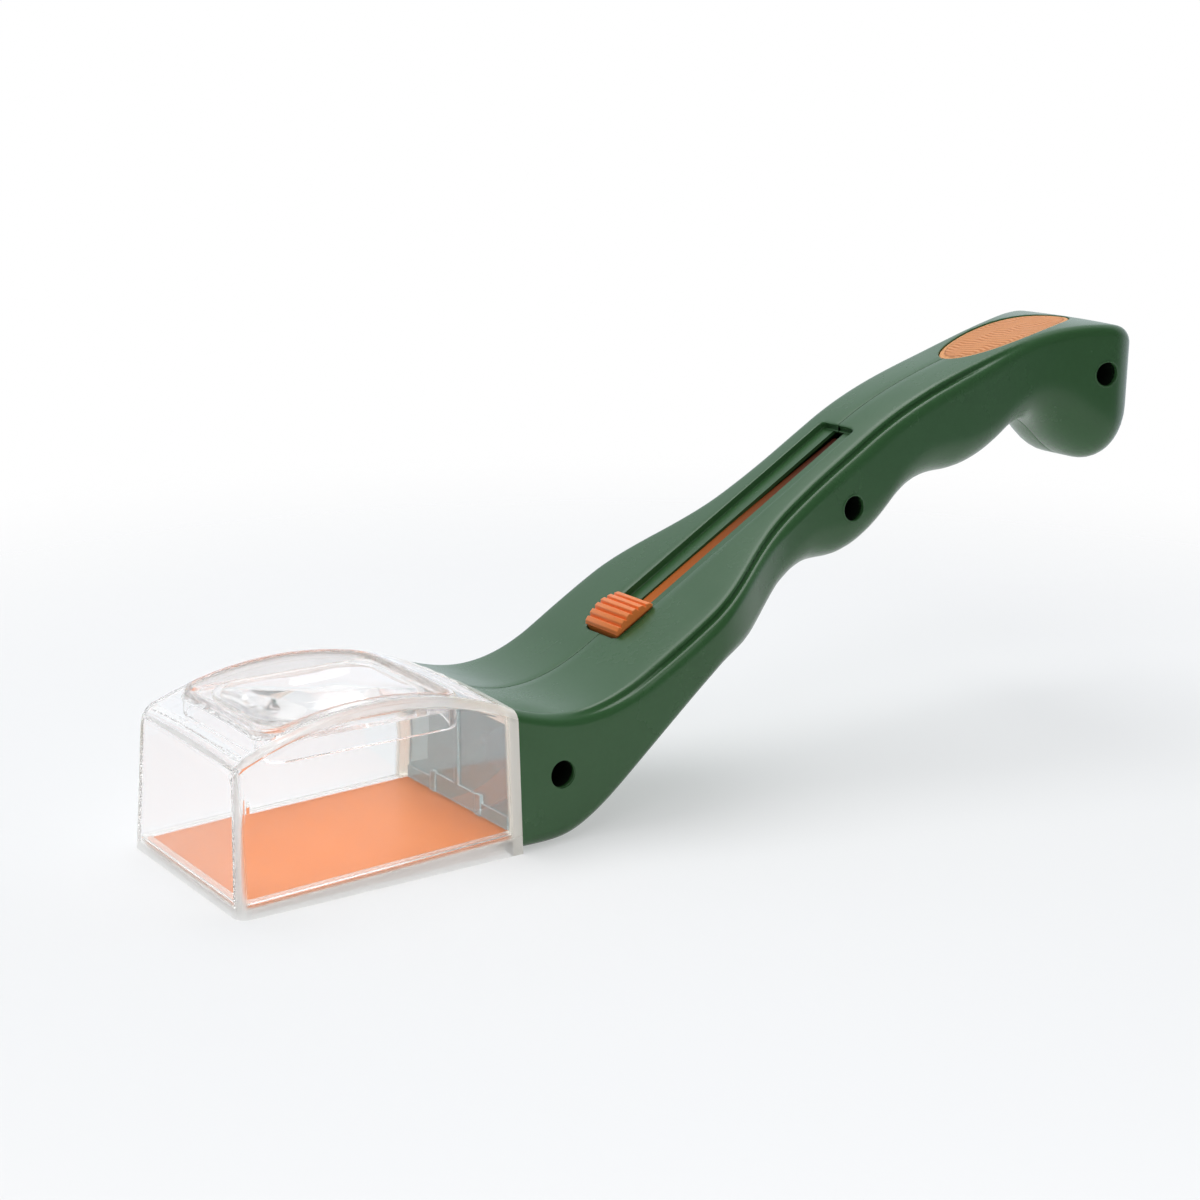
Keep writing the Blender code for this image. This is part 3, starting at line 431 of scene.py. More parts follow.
top_crown = curve_through([
    (0.0, 0.0, 0.0), (SLOT_FRONT.x, TOP_CROWN, 0.0), (SLOT_REAR.x, TOP_CROWN, 0.0),
    (POMMEL_X, POMMEL_CROWN, 0.0)])
under_radius = curve_through([
    (0.0, 0.0036, 0.0), (ROOT_END, 0.0054, 0.0), (SLOT_REAR.x - 0.02, 0.0096, 0.0),
    (SLOT_REAR.x + 0.05, 0.0096, 0.0), (POMMEL_X, 0.0140, 0.0)])


def end_round(x):
    """1 along the handle, falling to 0 over the pommel's rounded end."""
    t = (x - POMMEL_X) / POMMEL_REACH
    return 1.0 if t <= 0.0 else (1.0 - t**POMMEL_POWER) ** (1.0 / POMMEL_POWER)


def top_height(x):
    return POMMEL_MIDDLE + (base_top(x) - POMMEL_MIDDLE) * end_round(x)


def under_height(x):
    return POMMEL_MIDDLE + (base_under(x) - POMMEL_MIDDLE) * end_round(x)


def top_surface(x, y):
    half = base_half(x) * end_round(x)
    return top_height(x) - top_crown(x) * end_round(x) * (y / half) ** 2


def smooth_step(value):
    share = min(1.0, max(0.0, value))
    return share * share * (3 - 2 * share)


def arc(cx, cy, radius, start, stop, steps):
    turns = [math.radians(start + (stop - start) * step / steps) for step in range(steps + 1)]
    return [(cx + radius * math.cos(turn), cy + radius * math.sin(turn)) for turn in turns]


def spread(start, stop, count):
    return [start + (stop - start) * step / count for step in range(count)]


def piece_from(name, bm, material, body="housing", replaces=(), angle=40):
    """Turns a mesh drawn from the joint plane into a piece that rides on a body."""
    bmesh.ops.recalc_face_normals(bm, faces=bm.faces)
    bm.transform(Matrix.Translation(SHIFT))
    mesh = bpy.data.meshes.new(name)
    bm.to_mesh(mesh)
    bm.free()
    piece = bpy.data.objects.new(name, mesh)
    bpy.context.collection.objects.link(piece)
    dress(piece, material, angle)
    if body:
        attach(piece, body)
    if replaces:
        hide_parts(*replaces)
    return piece


def dress(piece, material, angle=40):
    piece.data.materials.clear()
    piece.data.materials.append(material)
    piece.data.shade_smooth()
    piece.data.set_sharp_from_angle(angle=math.radians(angle))


def add_loft(bm, rings, closed=True, caps=True):
    """Skins a row of point rings; closed rings wrap round."""
    loops = [[bm.verts.new(point) for point in ring] for ring in rings]
    count = len(loops[0])
    for near, far in zip(loops, loops[1:]):
        for a in range(count if closed else count - 1):
            b = (a + 1) % count
            bm.faces.new((near[a], near[b], far[b], far[a]))
    if caps:
        bm.faces.new(loops[0])
        bm.faces.new(loops[-1])
    return loops


def close_tube(bm, loops):
    """Joins the last ring of a loft to its first."""
    count = len(loops[0])
    for a in range(count):
        b = (a + 1) % count
        bm.faces.new((loops[-1][a], loops[-1][b], loops[0][b], loops[0][a]))


def cut_away(piece, cutters, angle=40):
    """Cuts the pieces in cutters out of piece, for good."""
    for cutter in cutters:
        step = piece.modifiers.new(cutter.name, "BOOLEAN")
        step.object = cutter
        step.operation = "DIFFERENCE"
        step.solver = "EXACT"
    made = piece.evaluated_get(bpy.context.evaluated_depsgraph_get())
    mesh = bpy.data.meshes.new_from_object(made)
    piece.modifiers.clear()
    piece.data = mesh
    dress(piece, mesh.materials[0], angle)
    for cutter in cutters:
        bpy.data.objects.remove(cutter, do_unlink=True)


# Handle


RECESS = SLOT_WIDTH / 2
SKIN = 0.0018              # wall of the handle
RECESS_WALL = 0.0012       # between the slot and the hollow
LINING_SHARE = 0.4         # how much of the edge's step shows on the inside
NARROW = 0.0115            # half sections below this width shrink their edges too
SIDE_STEPS = 8
BELLY_STEPS = 10
TOP_STEPS = 6
# Rounded seam: (offset, drop)
SEAM_LIP = ((0.0, -0.00012), (0.00005, -0.00003), (0.00016, 0.0))
SEAM = 0.00006            # half the gap between the halves
# Slot wall: (offset outwards from the wall, height above the slot's floor or None, drop below the top)
WALL_LIP = ((-0.00050, 0.0, 0), (-0.00014, 0.00003, 0), (0.0, 0.00018, 0), (0.00003, None, -0.00034),
            (0.00014, None, -0.00010), (0.00036, None, 0.0))
# Stepped top edge: (distance in from the side, drop): lip, groove, round bead and side
STEP_EDGE = ((0.0040, 0.0), (0.0033, -0.00006), (0.0029, -0.00020), (0.00266, -0.00042),
             (0.00256, -0.00072), (0.00264, -0.0011), (0.00272, -0.0015), (0.00258, -0.00180),
             (0.0023, -0.00190), (0.0020, -0.00184), (0.00165, -0.00178), (0.0013, -0.00184),
             (0.0009, -0.00206), (0.0005, -0.00244), (0.00018, -0.00292), (0.0, -0.0036))
ROUND_EDGE = 0.0028        # plain rounded edge where the handle meets the box
STEP_START = (0.006, 0.042)   # place and reach of the change from rounded to stepped
STEP_STOP = (SLOT_REAR.x + 0.024, 0.036)


def edge_profile(x):
    """Top edge at one station: rounded at the box, stepped along the grip, rounded at the pommel."""
    stepped = smooth_step((x - STEP_START[0]) / STEP_START[1])
    stepped *= 1 - smooth_step((x - STEP_STOP[0]) / STEP_STOP[1])
    last = len(STEP_EDGE) - 1
    profile = []
    for index, (along, drop) in enumerate(STEP_EDGE):
        turn = math.pi / 2 * index / last
        plain = (ROUND_EDGE * (1 - math.sin(turn)), ROUND_EDGE * (math.cos(turn) - 1))
        profile.append((plain[0] + (along - plain[0]) * stepped, plain[1] + (drop - plain[1]) * stepped))
    return profile


def half_section(x, slot, skin=0.0):
    """Outline of half the handle at one station, from the seam on top round to the seam below.

    slot gives the share of the slot's depth, the half width of its recess and the edge of the seam or slit.
    skin is 0 for the outside, or the wall's thickness for the lining.
    """
    sunk, recess, edge = slot
    half = base_half(x) * end_round(x)
    top = top_height(x)
    under = under_height(x) + skin
    small = min(1.0, half / NARROW)
    step_share = LINING_SHARE if skin else 1.0
    floor = -SLOT_DEPTH * sunk
    shelf = (skin + (SHELF - skin) * sunk) if skin else 0.0
    wall = recess * small + (RECESS_WALL * sunk if skin else 0.0)

    def on_slot(y, level):
        level_top = top_surface(x, y) * (1 - sunk) + top * sunk
        return (x + SLOT_UP.x * level * sunk, y, level_top + level * (1 + (SLOT_UP.z - 1) * sunk))

    outline = []
    for along, drop in SEAM_LIP:
        outline.append(on_slot(edge + along * small, floor - shelf + (0.0 if skin else drop * (1 - sunk))))
    outline.append(on_slot((edge + wall) / 2, floor - shelf))
    for along, rise, drop in WALL_LIP:
        y = wall + along * small
        if rise is None:
            outline.append((x, y, top_surface(x, y) + drop * sunk - skin))
        else:
            outline.append(on_slot(y, floor - shelf + rise * sunk))
    scale = small * step_share
    profile = [(half - skin - along * scale, drop * scale) for along, drop in edge_profile(x)]
    start = wall + WALL_LIP[-1][0] * small
    for y in spread(start, profile[0][0], TOP_STEPS)[1:]:
        outline.append((x, y, top_surface(x, y) - skin))
    for y, drop in profile:
        outline.append((x, y, top_surface(x, half if y > half else y) + drop - skin))
    lean = SIDE_DRAFT * max(0.0, 1.0 - x / SLOT_FRONT.x) ** 2
    side_top = outline[-1][2]
    belly = max(min(under_radius(x), 0.45 * (top - under_height(x)), 0.85 * half) - skin, 0.0006)
    for step in range(1, SIDE_STEPS + 1):
        share = step / SIDE_STEPS
        outline.append((x, half - skin + lean * share, side_top + (under + belly - side_top) * share))
    foot = half - skin + lean - belly
    outline += [(x, y, z) for y, z in arc(foot, under + belly, belly, 0, -90, BELLY_STEPS)[1:]]
    outline.append((x, foot * 0.5, under))
    for along, drop in reversed(SEAM_LIP):
        outline.append((x, SEAM + along * small, under - (0.0 if skin else drop)))
    return outline


SLIT_REAR = 0.0002         # the slit runs almost to the slot's rear wall
SLOT_CORNER_PLACES = (0.00012, 0.00045, 0.0008, 0.0012)
SLIT_EDGE = 0.00006
# Rounded edge at the slot's ends: (distance outside the end, share of the depth)
SLOT_LIP = ((0.0005, 0.0), (0.0002, 0.02), (0.00006, 0.12), (0.0, 1.0))
SHOULDER = -0.0440         # from the slot's rear end to where the root narrows
HOLLOW = 0.0595            # and to the hollow before the pommel
STATION_GAP = 0.0006       # no other section is this near to one of the slot's
POMMEL_STEPS = 20


def slot_stations():
    """(place, (depth share, recess half width, seam edge)) round the two ends of the slot."""
    slit = SLIT_WIDTH / 2
    marks = []
    for end, inward, solid in ((SLOT_FRONT.x, 1, SLIT_END), (SLOT_REAR.x, -1, SLIT_REAR)):
        for outward, share in SLOT_LIP:
            marks.append((end - inward * outward, (share, RECESS - SLOT_CORNER, SEAM)))
        for inside in (solid, solid + SLIT_EDGE) + SLOT_CORNER_PLACES:
            left = SLOT_CORNER - min(inside, SLOT_CORNER)
            half = RECESS - SLOT_CORNER + math.sqrt(SLOT_CORNER**2 - left**2)
            edge = slit if inside > solid else SEAM
            marks.append((end + inward * inside * SLOT_ALONG.x, (1.0, half, edge)))
    return marks


def handle_stations():
    """Places of the half sections along the handle, each with the slot's shape there."""
    shoulder = SLOT_REAR.x + SHOULDER
    hollow = SLOT_REAR.x + HOLLOW
    places = spread(0.0, ROOT_END, 40) + spread(ROOT_END, shoulder, 12)
    places += spread(shoulder, hollow, 76) + spread(hollow, POMMEL_X, 14)
    reach = HANDLE_END - POMMEL_X
    turns = [math.radians(90 * step / POMMEL_STEPS) for step in range(POMMEL_STEPS + 1)]
    places += [POMMEL_X + reach * math.sin(turn) for turn in turns]
    marks = slot_stations()
    stations = list(marks)
    for place in places:
        if min(abs(place - mark) for mark, _ in marks) < STATION_GAP:
            continue
        if SLOT_FRONT.x < place < SLOT_REAR.x:
            stations.append((place, (1.0, RECESS, SLIT_WIDTH / 2)))
        else:
            stations.append((place, (0.0, RECESS - SLOT_CORNER, SEAM)))
    return sorted(stations)


def handle_half(name, side, node):
    """Half of the handle as a closed shell: slot, seam groove and stepped top edge in its outline."""
    outer = []
    inner = []
    for x, slot in handle_stations():
        outer.append([(px, side * y, z) for px, y, z in half_section(x, slot)])
        deep = x if x <= POMMEL_X else POMMEL_X + (x - POMMEL_X) * (1 - SKIN / POMMEL_REACH)
        inner.append([(px, side * y, z) for px, y, z in half_section(deep, slot, SKIN)])
    bm = bmesh.new()
    shell = add_loft(bm, outer, closed=False, caps=False)
    lining = add_loft(bm, inner, closed=False, caps=False)
    for end in (0, -1):
        for here, there, here_in, there_in in zip(shell, shell[1:], lining, lining[1:]):
            bm.faces.new((here[end], there[end], there_in[end], here_in[end]))
    for a in range(len(shell[0]) - 1):
        bm.faces.new((shell[0][a], shell[0][a + 1], lining[0][a + 1], lining[0][a]))
    bm.faces.new(shell[-1])
    bm.faces.new(lining[-1])
    bm.faces.new((shell[-1][0], shell[-1][-1], lining[-1][-1], lining[-1][0]))
    return piece_from(name, bm, GREEN, replaces=(node,), angle=38)


HOLE_STEPS = 48
BORE_END = -0.002          # Y that the cutters of the holes reach
CUT_PAST = 0.006           # how far outside the handle they start
RIM_OUT = 0.00012          # middle of the ring along a hole's mouth, out from the hole
RIM_RADIUS = 0.00026
RIM_FLAT = 0.7
WELL_RADIUS = 0.0046
WELL_TOP = 0.0009          # below the handle's face
WELL_FLOOR = -0.00255
WELL_BACK = -0.0004
SHANK_HOLE = 0.0016


def side_face(x):
    """Y of the handle's left side."""
    return -base_half(x) * end_round(x)


def circle(screw, radius):
    """(X, Z) of points round a screw's axis."""
    return arc(*SCREWS[screw], radius, 0, 360 - 360 / HOLE_STEPS, HOLE_STEPS - 1)


def hole_ring(screw, radius, sunk):
    """Circle round a screw's axis, laid on the handle's left side and sunk into it."""
    return [(x, side_face(x) + sunk, z) for x, z in circle(screw, radius)]


def level_ring(screw, radius, y):
    """Circle round a screw's axis, all at one Y."""
    return [(x, y, z) for x, z in circle(screw, radius)]


def bore_cutter(screw):
    """Round cutter along Y from outside the handle's left side to the screw's seat."""
    outside = side_face(SCREWS[screw][0]) - CUT_PAST
    bm = bmesh.new()
    add_loft(bm, [level_ring(screw, COUNTERBORE, BORE_END), level_ring(screw, COUNTERBORE, outside)])
    return piece_from("bore_" + screw, bm, GREEN, body=None)


def hole_rims():
    """Fine rounded ring along the mouth of each hole in the handle's side."""
    bm = bmesh.new()
    for screw in SCREWS:
        rings = []
        for out, rise in arc(COUNTERBORE + RIM_OUT, 0.0, RIM_RADIUS, 0, 330, 11):
            rings.append(hole_ring(screw, out, -RIM_FLAT * rise))
        close_tube(bm, add_loft(bm, rings, caps=False))
    return piece_from("hole_rims", bm, GREEN, angle=60)


def oval_ring(long_half, wide_half, level, steps=96):
    """Oval round the pad's middle, at one level above the grip's top."""
    ring = []
    for step in range(steps):
        turn = 2 * math.pi * step / steps
        x = INLAY_CENTRE + long_half * math.cos(turn)
        y = wide_half * math.sin(turn)
        ring.append((x, y, top_surface(x, y) + level))
    return ring


PAD_GAP = 0.00028          # groove round the pad
PAD_SHARES = (0.25, 0.6, 0.9)
OVAL_TOP = 0.003
# Rim of the pad's recess: (growth past the groove, level)
OVAL_RIM = ((0.0, -INLAY_DEPTH), (0.0, -0.00022), (0.00006, -0.00008), (0.0002, 0.00001),
            (0.0005, OVAL_TOP))


def oval_cutter(name):
    """Cuts the pad's recess, with its rim slightly rounded."""
    long_half = INLAY_LENGTH / 2
    wide_half = INLAY_WIDTH / 2
    rings = [oval_ring(s * long_half, s * wide_half, -INLAY_DEPTH) for s in PAD_SHARES]
    for growth, level in OVAL_RIM:
        grow = PAD_GAP + growth
        rings.append(oval_ring(long_half + grow, wide_half + grow, level))
    rings += [oval_ring(s * long_half, s * wide_half, OVAL_TOP) for s in reversed(PAD_SHARES)]
    bm = bmesh.new()
    add_loft(bm, rings)
    return piece_from(name, bm, GREEN, body=None)


def screw_wells():
    """Tubes behind the holes in the handle's side, with a floor that the screw heads rest on, coloured
    near-black as painted shade.
    """
    bm = bmesh.new()
    for screw in SCREWS:
        rings = [level_ring(screw, WELL_RADIUS, WELL_BACK), hole_ring(screw, WELL_RADIUS, WELL_TOP),
                 hole_ring(screw, COUNTERBORE, WELL_TOP), level_ring(screw, COUNTERBORE, WELL_FLOOR),
                 level_ring(screw, SHANK_HOLE, WELL_FLOOR), level_ring(screw, SHANK_HOLE, WELL_BACK)]
        close_tube(bm, add_loft(bm, rings, caps=False))
    return piece_from("screw_wells", bm, WELL_IN_SHADE)


left = handle_half("handle_left", -1, "handle_shell_left")
right = handle_half("handle_right", 1, "handle_shell_right")
cut_away(left, [bore_cutter(screw) for screw in SCREWS] + [oval_cutter("oval_left")], 38)
cut_away(right, [oval_cutter("oval_right")], 38)
screw_wells()
hole_rims()


# Thumb pad


PAD_LIFT = 0.00005
PAD_ROUND = (0.0002, 0.0003)      # drop and reach of its rounded edge
PAD_GROOVE = (0.00016, 0.00024)   # depth and half width of the groove inside the border
RIB_EASE = (0.0001, 0.0004)       # where the ribs start inside the border, and over what length
PAD_ROWS = 300
PAD_COLUMNS = 52
PAD_CROWD = 0.45                  # how far the rows crowd together at the pad's two ends
PAD_SPARE = 0.00002
PAD_FOOT = 0.0001                 # gap below the pad


def rib_height(x, y):
    """Wavy ribs across the pad, from 0 in the valleys to 1 on the crests."""
    place = x + RIB_SLANT * y
    for height, across, length in RIB_WAVES:
        place += height * math.sin(2 * math.pi * (y / across + x / length))
    phase = 0.5 + 0.5 * math.cos(2 * math.pi * place / RIB_PITCH)
    return smooth_step(phase * 1.9)


def pad_level(x, y):
    """Height of the pad's face: round outer edge, smooth border, fine inner groove, then the ribs."""
    long_half = INLAY_LENGTH / 2
    wide_half = INLAY_WIDTH / 2
    along = (x - INLAY_CENTRE) / long_half
    across = y / wide_half
    reach = math.hypot(along, across)
    scale = math.hypot(along * wide_half, across * long_half) / max(reach, 0.001)
    depth = (1 - reach) * long_half * wide_half / max(scale, 0.001)
    edge = PAD_ROUND[0] * max(0.0, 1 - depth / PAD_ROUND[1]) ** 2
    groove = PAD_GROOVE[0] * max(0.0, 1 - abs(depth - PAD_BORDER) / PAD_GROOVE[1])
    ribs = smooth_step((depth - PAD_BORDER - RIB_EASE[0]) / RIB_EASE[1])
    return -INLAY_SUNK + PAD_LIFT - edge - groove - ribs * RIB_HEIGHT * (1 - rib_height(x, y))


def thumb_pad():
    """Oval pad let into the grip's top."""
    long_half = INLAY_LENGTH / 2
    wide_half = INLAY_WIDTH / 2
    grid = []
    for i in range(PAD_ROWS + 1):
        crowded = INLAY_CENTRE - long_half * math.cos(math.pi * i / PAD_ROWS)
        even = INLAY_CENTRE + long_half * (2 * i / PAD_ROWS - 1)
        x = PAD_CROWD * crowded + (1 - PAD_CROWD) * even
        reach = wide_half * math.sqrt(max(0.0, 1 - ((x - INLAY_CENTRE) / long_half) ** 2)) + PAD_SPARE
        grid.append([(x, -reach * math.cos(math.pi * j / PAD_COLUMNS)) for j in range(PAD_COLUMNS + 1)])
    bm = bmesh.new()
    face = [[bm.verts.new((x, y, top_surface(x, y) + pad_level(x, y))) for x, y in row] for row in grid]
    foot = PAD_FOOT - INLAY_DEPTH
    back = [[bm.verts.new((x, y, top_surface(x, y) + foot)) for x, y in row] for row in grid]
    for a, b, c, d in zip(face, face[1:], back, back[1:]):
        for j in range(PAD_COLUMNS):
            bm.faces.new((a[j], a[j + 1], b[j + 1], b[j]))
            bm.faces.new((c[j], d[j], d[j + 1], c[j + 1]))
        bm.faces.new((a[0], b[0], d[0], c[0]))
        bm.faces.new((a[-1], c[-1], d[-1], b[-1]))
    for row, base in ((face[0], back[0]), (face[-1], back[-1])):
        for j in range(PAD_COLUMNS):
            bm.faces.new((row[j], row[j + 1], base[j + 1], base[j]))
    return piece_from("thumb_pad", bm, PAD, replaces=("thumb_inlay",), angle=60)


thumb_pad()


# Thumb button


BUTTON_ENDS = 0.0012       # height at its two ends
BUTTON_ARCH = 0.0018       # and how much higher its middle is
BUTTON_FOOT = 0.0004       # its pad starts this far above the handle's top
BUTTON_LEAST = 0.0003      # least thickness of the pad
GROOVE_DEPTH = 0.00072
GROOVE_REACH = 0.26        # half width of a groove between ribs, as a share of their pitch
RIB_STEPS = 16
OVERHANG = 0.0004          # past each side of the slot
PLAY = 0.0004              # between the button and the slot or slit
NECK_REACH = 0.0032        # half the neck's length
NECK_FOOT = -0.0042
# Rounded sides: (distance in from the side, inset of the outline)
BUTTON_SIDE = ((0.0, 0.00028), (0.00008, 0.0001), (0.0003, 0.0))


def thumb_button():
    """Arched pad with rounded cross ribs, its foot in the slot and its neck through the slit."""
    place = Matrix.Translation(SLOT_FRONT) @ Matrix.Rotation(-SLOT_ANGLE, 4, "Y")
    pitch = BUTTON_LENGTH / BUTTON_RIBS
    crest = []
    for step in range(BUTTON_RIBS * RIB_STEPS + 1):
        along = step * pitch / RIB_STEPS
        height = BUTTON_ENDS + BUTTON_ARCH * math.sin(math.pi * along / BUTTON_LENGTH)
        phase = (step % RIB_STEPS) / RIB_STEPS
        groove = smooth_step(1 - abs((phase + 0.5) % 1.0 - 0.5) / GROOVE_REACH)
        crest.append((BUTTON_STOP + along, max(height - GROOVE_DEPTH * groove, BUTTON_FOOT + BUTTON_LEAST)))
    bm = bmesh.new()
    half = SLOT_WIDTH / 2 + OVERHANG
    sides = [(along - half, inset) for along, inset in BUTTON_SIDE]
    sides += [(half - along, inset) for along, inset in reversed(BUTTON_SIDE)]
    rings = []
    for y, inset in sides:
        front = BUTTON_STOP + inset
        rear = BUTTON_STOP + BUTTON_LENGTH - inset
        ring = [(front, y, BUTTON_FOOT)]
        ring += [(min(max(x, front), rear), y, z - inset) for x, z in crest]
        ring.append((rear, y, BUTTON_FOOT))
        rings.append(ring)
    add_loft(bm, rings)
    middle = BUTTON_STOP + BUTTON_LENGTH / 2
    foot = SLOT_WIDTH / 2 - PLAY
    neck = SLIT_WIDTH / 2 - PLAY
    for reach, width, base, head in ((BUTTON_LENGTH / 2, foot, -SLOT_DEPTH + PLAY, 0.0007),
                                     (NECK_REACH, neck, NECK_FOOT, -SLOT_DEPTH + 0.0009)):
        front = middle - reach
        rear = middle + reach
        outline = [(front, -width), (rear, -width), (rear, width), (front, width)]
        add_loft(bm, [[(x, y, base) for x, y in outline], [(x, y, head) for x, y in outline]])
    bm.transform(place)
    return piece_from("thumb_button", bm, ORANGE, "slider", ("slider_button",), 50)


thumb_button()


# Strap and door


STRAP_START = 0.0013       # just behind the closed sheet
STRAP_DEPTH = 0.00335      # below the handle's top, where it comes to the slot
STRAP_WIDE = 0.0050        # half its width in the root
STRAP_SLIM = 0.0019        # half its width in the slit, between the slit's edges
STRAP_HALF = 0.00025       # half its thickness
STRAP_BEND = 0.021         # reach of the bend's two tangents
BEND_STEPS = 24
NARROWING = (0.001, 0.004)   # where it grows slim in the slot, and over what length
# Depth along the slot
strap_depth = curve_through([
    (0.0, 0.0030, 0.0), (0.012, 0.0025, 0.0), (0.043, 0.0027, 0.012), (0.070, 0.0033, 0.025),
    (SLOT_LENGTH, 0.0038, 0.03)])


def strap():
    """Narrow tail of the door's sheet: up through the root, then along the slit, sinking away."""
    start = Vector((STRAP_START, 0.0, DOOR_LEVEL))
    stop = SLOT_FRONT - STRAP_DEPTH * SLOT_UP
    pull_start = start + Vector((STRAP_BEND, 0.0, 0.0))
    pull_stop = stop - STRAP_BEND * SLOT_ALONG
    route = []
    for step in range(BEND_STEPS + 1):
        t = step / BEND_STEPS
        u = 1 - t
        point = u**3 * start + 3 * u**2 * t * pull_start + 3 * u * t**2 * pull_stop + t**3 * stop
        route.append((point, STRAP_WIDE))
    for along in spread(NARROWING[0], SLOT_LENGTH - SLIT_REAR, 60):
        narrow = smooth_step((along - NARROWING[0]) / NARROWING[1])
        depth = STRAP_DEPTH + (strap_depth(along) - STRAP_DEPTH) * narrow
        half = STRAP_WIDE + (STRAP_SLIM - STRAP_WIDE) * narrow
        route.append((SLOT_FRONT + along * SLOT_ALONG - depth * SLOT_UP, half))
    rings = []
    for index, (point, half) in enumerate(route):
        ahead = route[min(index + 1, len(route) - 1)][0] - route[max(index - 1, 0)][0]
        up = Vector((-ahead.z, 0.0, ahead.x)).normalized() * STRAP_HALF
        across = Vector((0.0, half, 0.0))
        rings.append([point - up - across, point - up + across, point + up + across, point + up - across])
    bm = bmesh.new()
    add_loft(bm, rings)
    return piece_from("door_tail", bm, TAIL_IN_SHADE, replaces=("door_strap",))


strap()


DOOR_REAR = 0.0010         # end inside the handle
DOOR_CORNER = 0.0015
DOOR_HALF = 0.0003         # half its thickness


def door():
    """Thin sloping sheet with rounded front corners, which slides away with the door body."""
    front = -CHAMBER_LENGTH + DOOR_EDGE
    half = CHAMBER_WIDTH / 2 - DOOR_EDGE
    outline = [(DOOR_REAR, -half), (DOOR_REAR, half)]
    outline += arc(front + DOOR_CORNER, half - DOOR_CORNER, DOOR_CORNER, 90, 180, 5)
    outline += arc(front + DOOR_CORNER, -half + DOOR_CORNER, DOOR_CORNER, 180, 270, 5)
    slope = DOOR_FALL / CHAMBER_LENGTH
    rings = []
    for level in (DOOR_LEVEL - DOOR_HALF, DOOR_LEVEL + DOOR_HALF):
        rings.append([(x, y, level + slope * x) for x, y in outline])
    bm = bmesh.new()
    add_loft(bm, rings)
    piece = piece_from("door", bm, SHEET, "door", ("door_sheet",))
    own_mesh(piece)
    return piece


door()


# Magnifier


FRAME_BASE = 0.0015        # thickness of the frame's floor
LIP = 0.0003               # rounding of the frame's and the lens's edges
LENS_LIFT = 0.0003         # above its seat
LENS_EDGE = 0.0012         # thickness at its edge
LENS_BELLY = 0.0036        # how far it swells below its edge
LENS_DOME = 0.0026         # and above it
LENS_RINGS = 14


def rounded_outline(length, width, corner, corner_steps=10, side_steps=10):
    """Rectangle with round corners about the lens centre, its sides divided."""
    ends = []
    for turn, sx, sy in ((0, 1, 1), (90, -1, 1), (180, -1, -1), (270, 1, -1)):
        middle = (LENS_CENTRE + sx * (length / 2 - corner), sy * (width / 2 - corner))
        ends.append(arc(*middle, corner, turn, turn + 90, corner_steps))
    outline = []
    for here, ahead in zip(ends, ends[1:] + ends[:1]):
        outline += here[:-1]
        (x0, y0), (x1, y1) = here[-1], ahead[0]
        for step in range(side_steps):
            share = step / side_steps
            outline.append((x0 + (x1 - x0) * share, y0 + (y1 - y0) * share))
    return outline


def roof_height(x, y):
    """Height of the box's arched roof, with the slight swell round the frame."""
    half = CHAMBER_LENGTH / 2
    radius = (half**2 + ROOF_RISE**2) / (2 * ROOF_RISE)
    along = min(max(x, -CHAMBER_LENGTH), 0.0) + half
    swell = ROOF_CROWN * (1 - min(1.0, (2 * y / FRAME_WIDTH) ** 2))
    return CHAMBER_HEIGHT + ROOF_RISE - radius + math.sqrt(radius**2 - along**2) + swell


def lens_frame():
    """Frame let into the roof: arched wall with rounded lip, stepped floor and skirt."""
    opening = LENS_BORDER + LENS_SEAT
    below = FRAME_FLOOR - FRAME_BASE
    inner = FRAME_CORNER - FRAME_WALL
    hole = LENS_CORNER - LENS_SEAT
    # (inset, corner radius, height, 1 where the height is above the roof)
    section = [(0.0, FRAME_CORNER, SKIRT_FOOT + 0.0002, 0), (0.0, FRAME_CORNER, -LIP, 1),
               (LIP, FRAME_CORNER - LIP, LIP, 1), (FRAME_WALL - LIP, inner + LIP, LIP, 1),
               (FRAME_WALL, inner, 0.0, 1), (FRAME_WALL + 0.0001, inner, FRAME_FLOOR + 0.0008, 0),
               (FRAME_WALL + 0.0008, inner + 0.0012, FRAME_FLOOR + 0.0006, 0),
               (FRAME_WALL + 0.0009, inner + 0.0012, FRAME_FLOOR, 0),
               (opening, hole, FRAME_FLOOR, 0), (opening, hole, below, 0),
               (FRAME_WALL, inner, below, 0), (FRAME_WALL, inner, SKIRT_FOOT + 0.0002, 0),
               (FRAME_WALL - LIP, inner, SKIRT_FOOT, 0), (LIP, FRAME_CORNER, SKIRT_FOOT, 0)]
    loops = []
    for inset, corner, height, on_roof in section:
        outline = rounded_outline(FRAME_LENGTH - 2 * inset, FRAME_WIDTH - 2 * inset, corner)
        loops.append([(x, y, height + (roof_height(x, y) if on_roof else 0.0)) for x, y in outline])
    bm = bmesh.new()
    close_tube(bm, add_loft(bm, loops, caps=False))
    return piece_from("lens_surround", bm, CLEAR, replaces=("lens_frame",), angle=30)


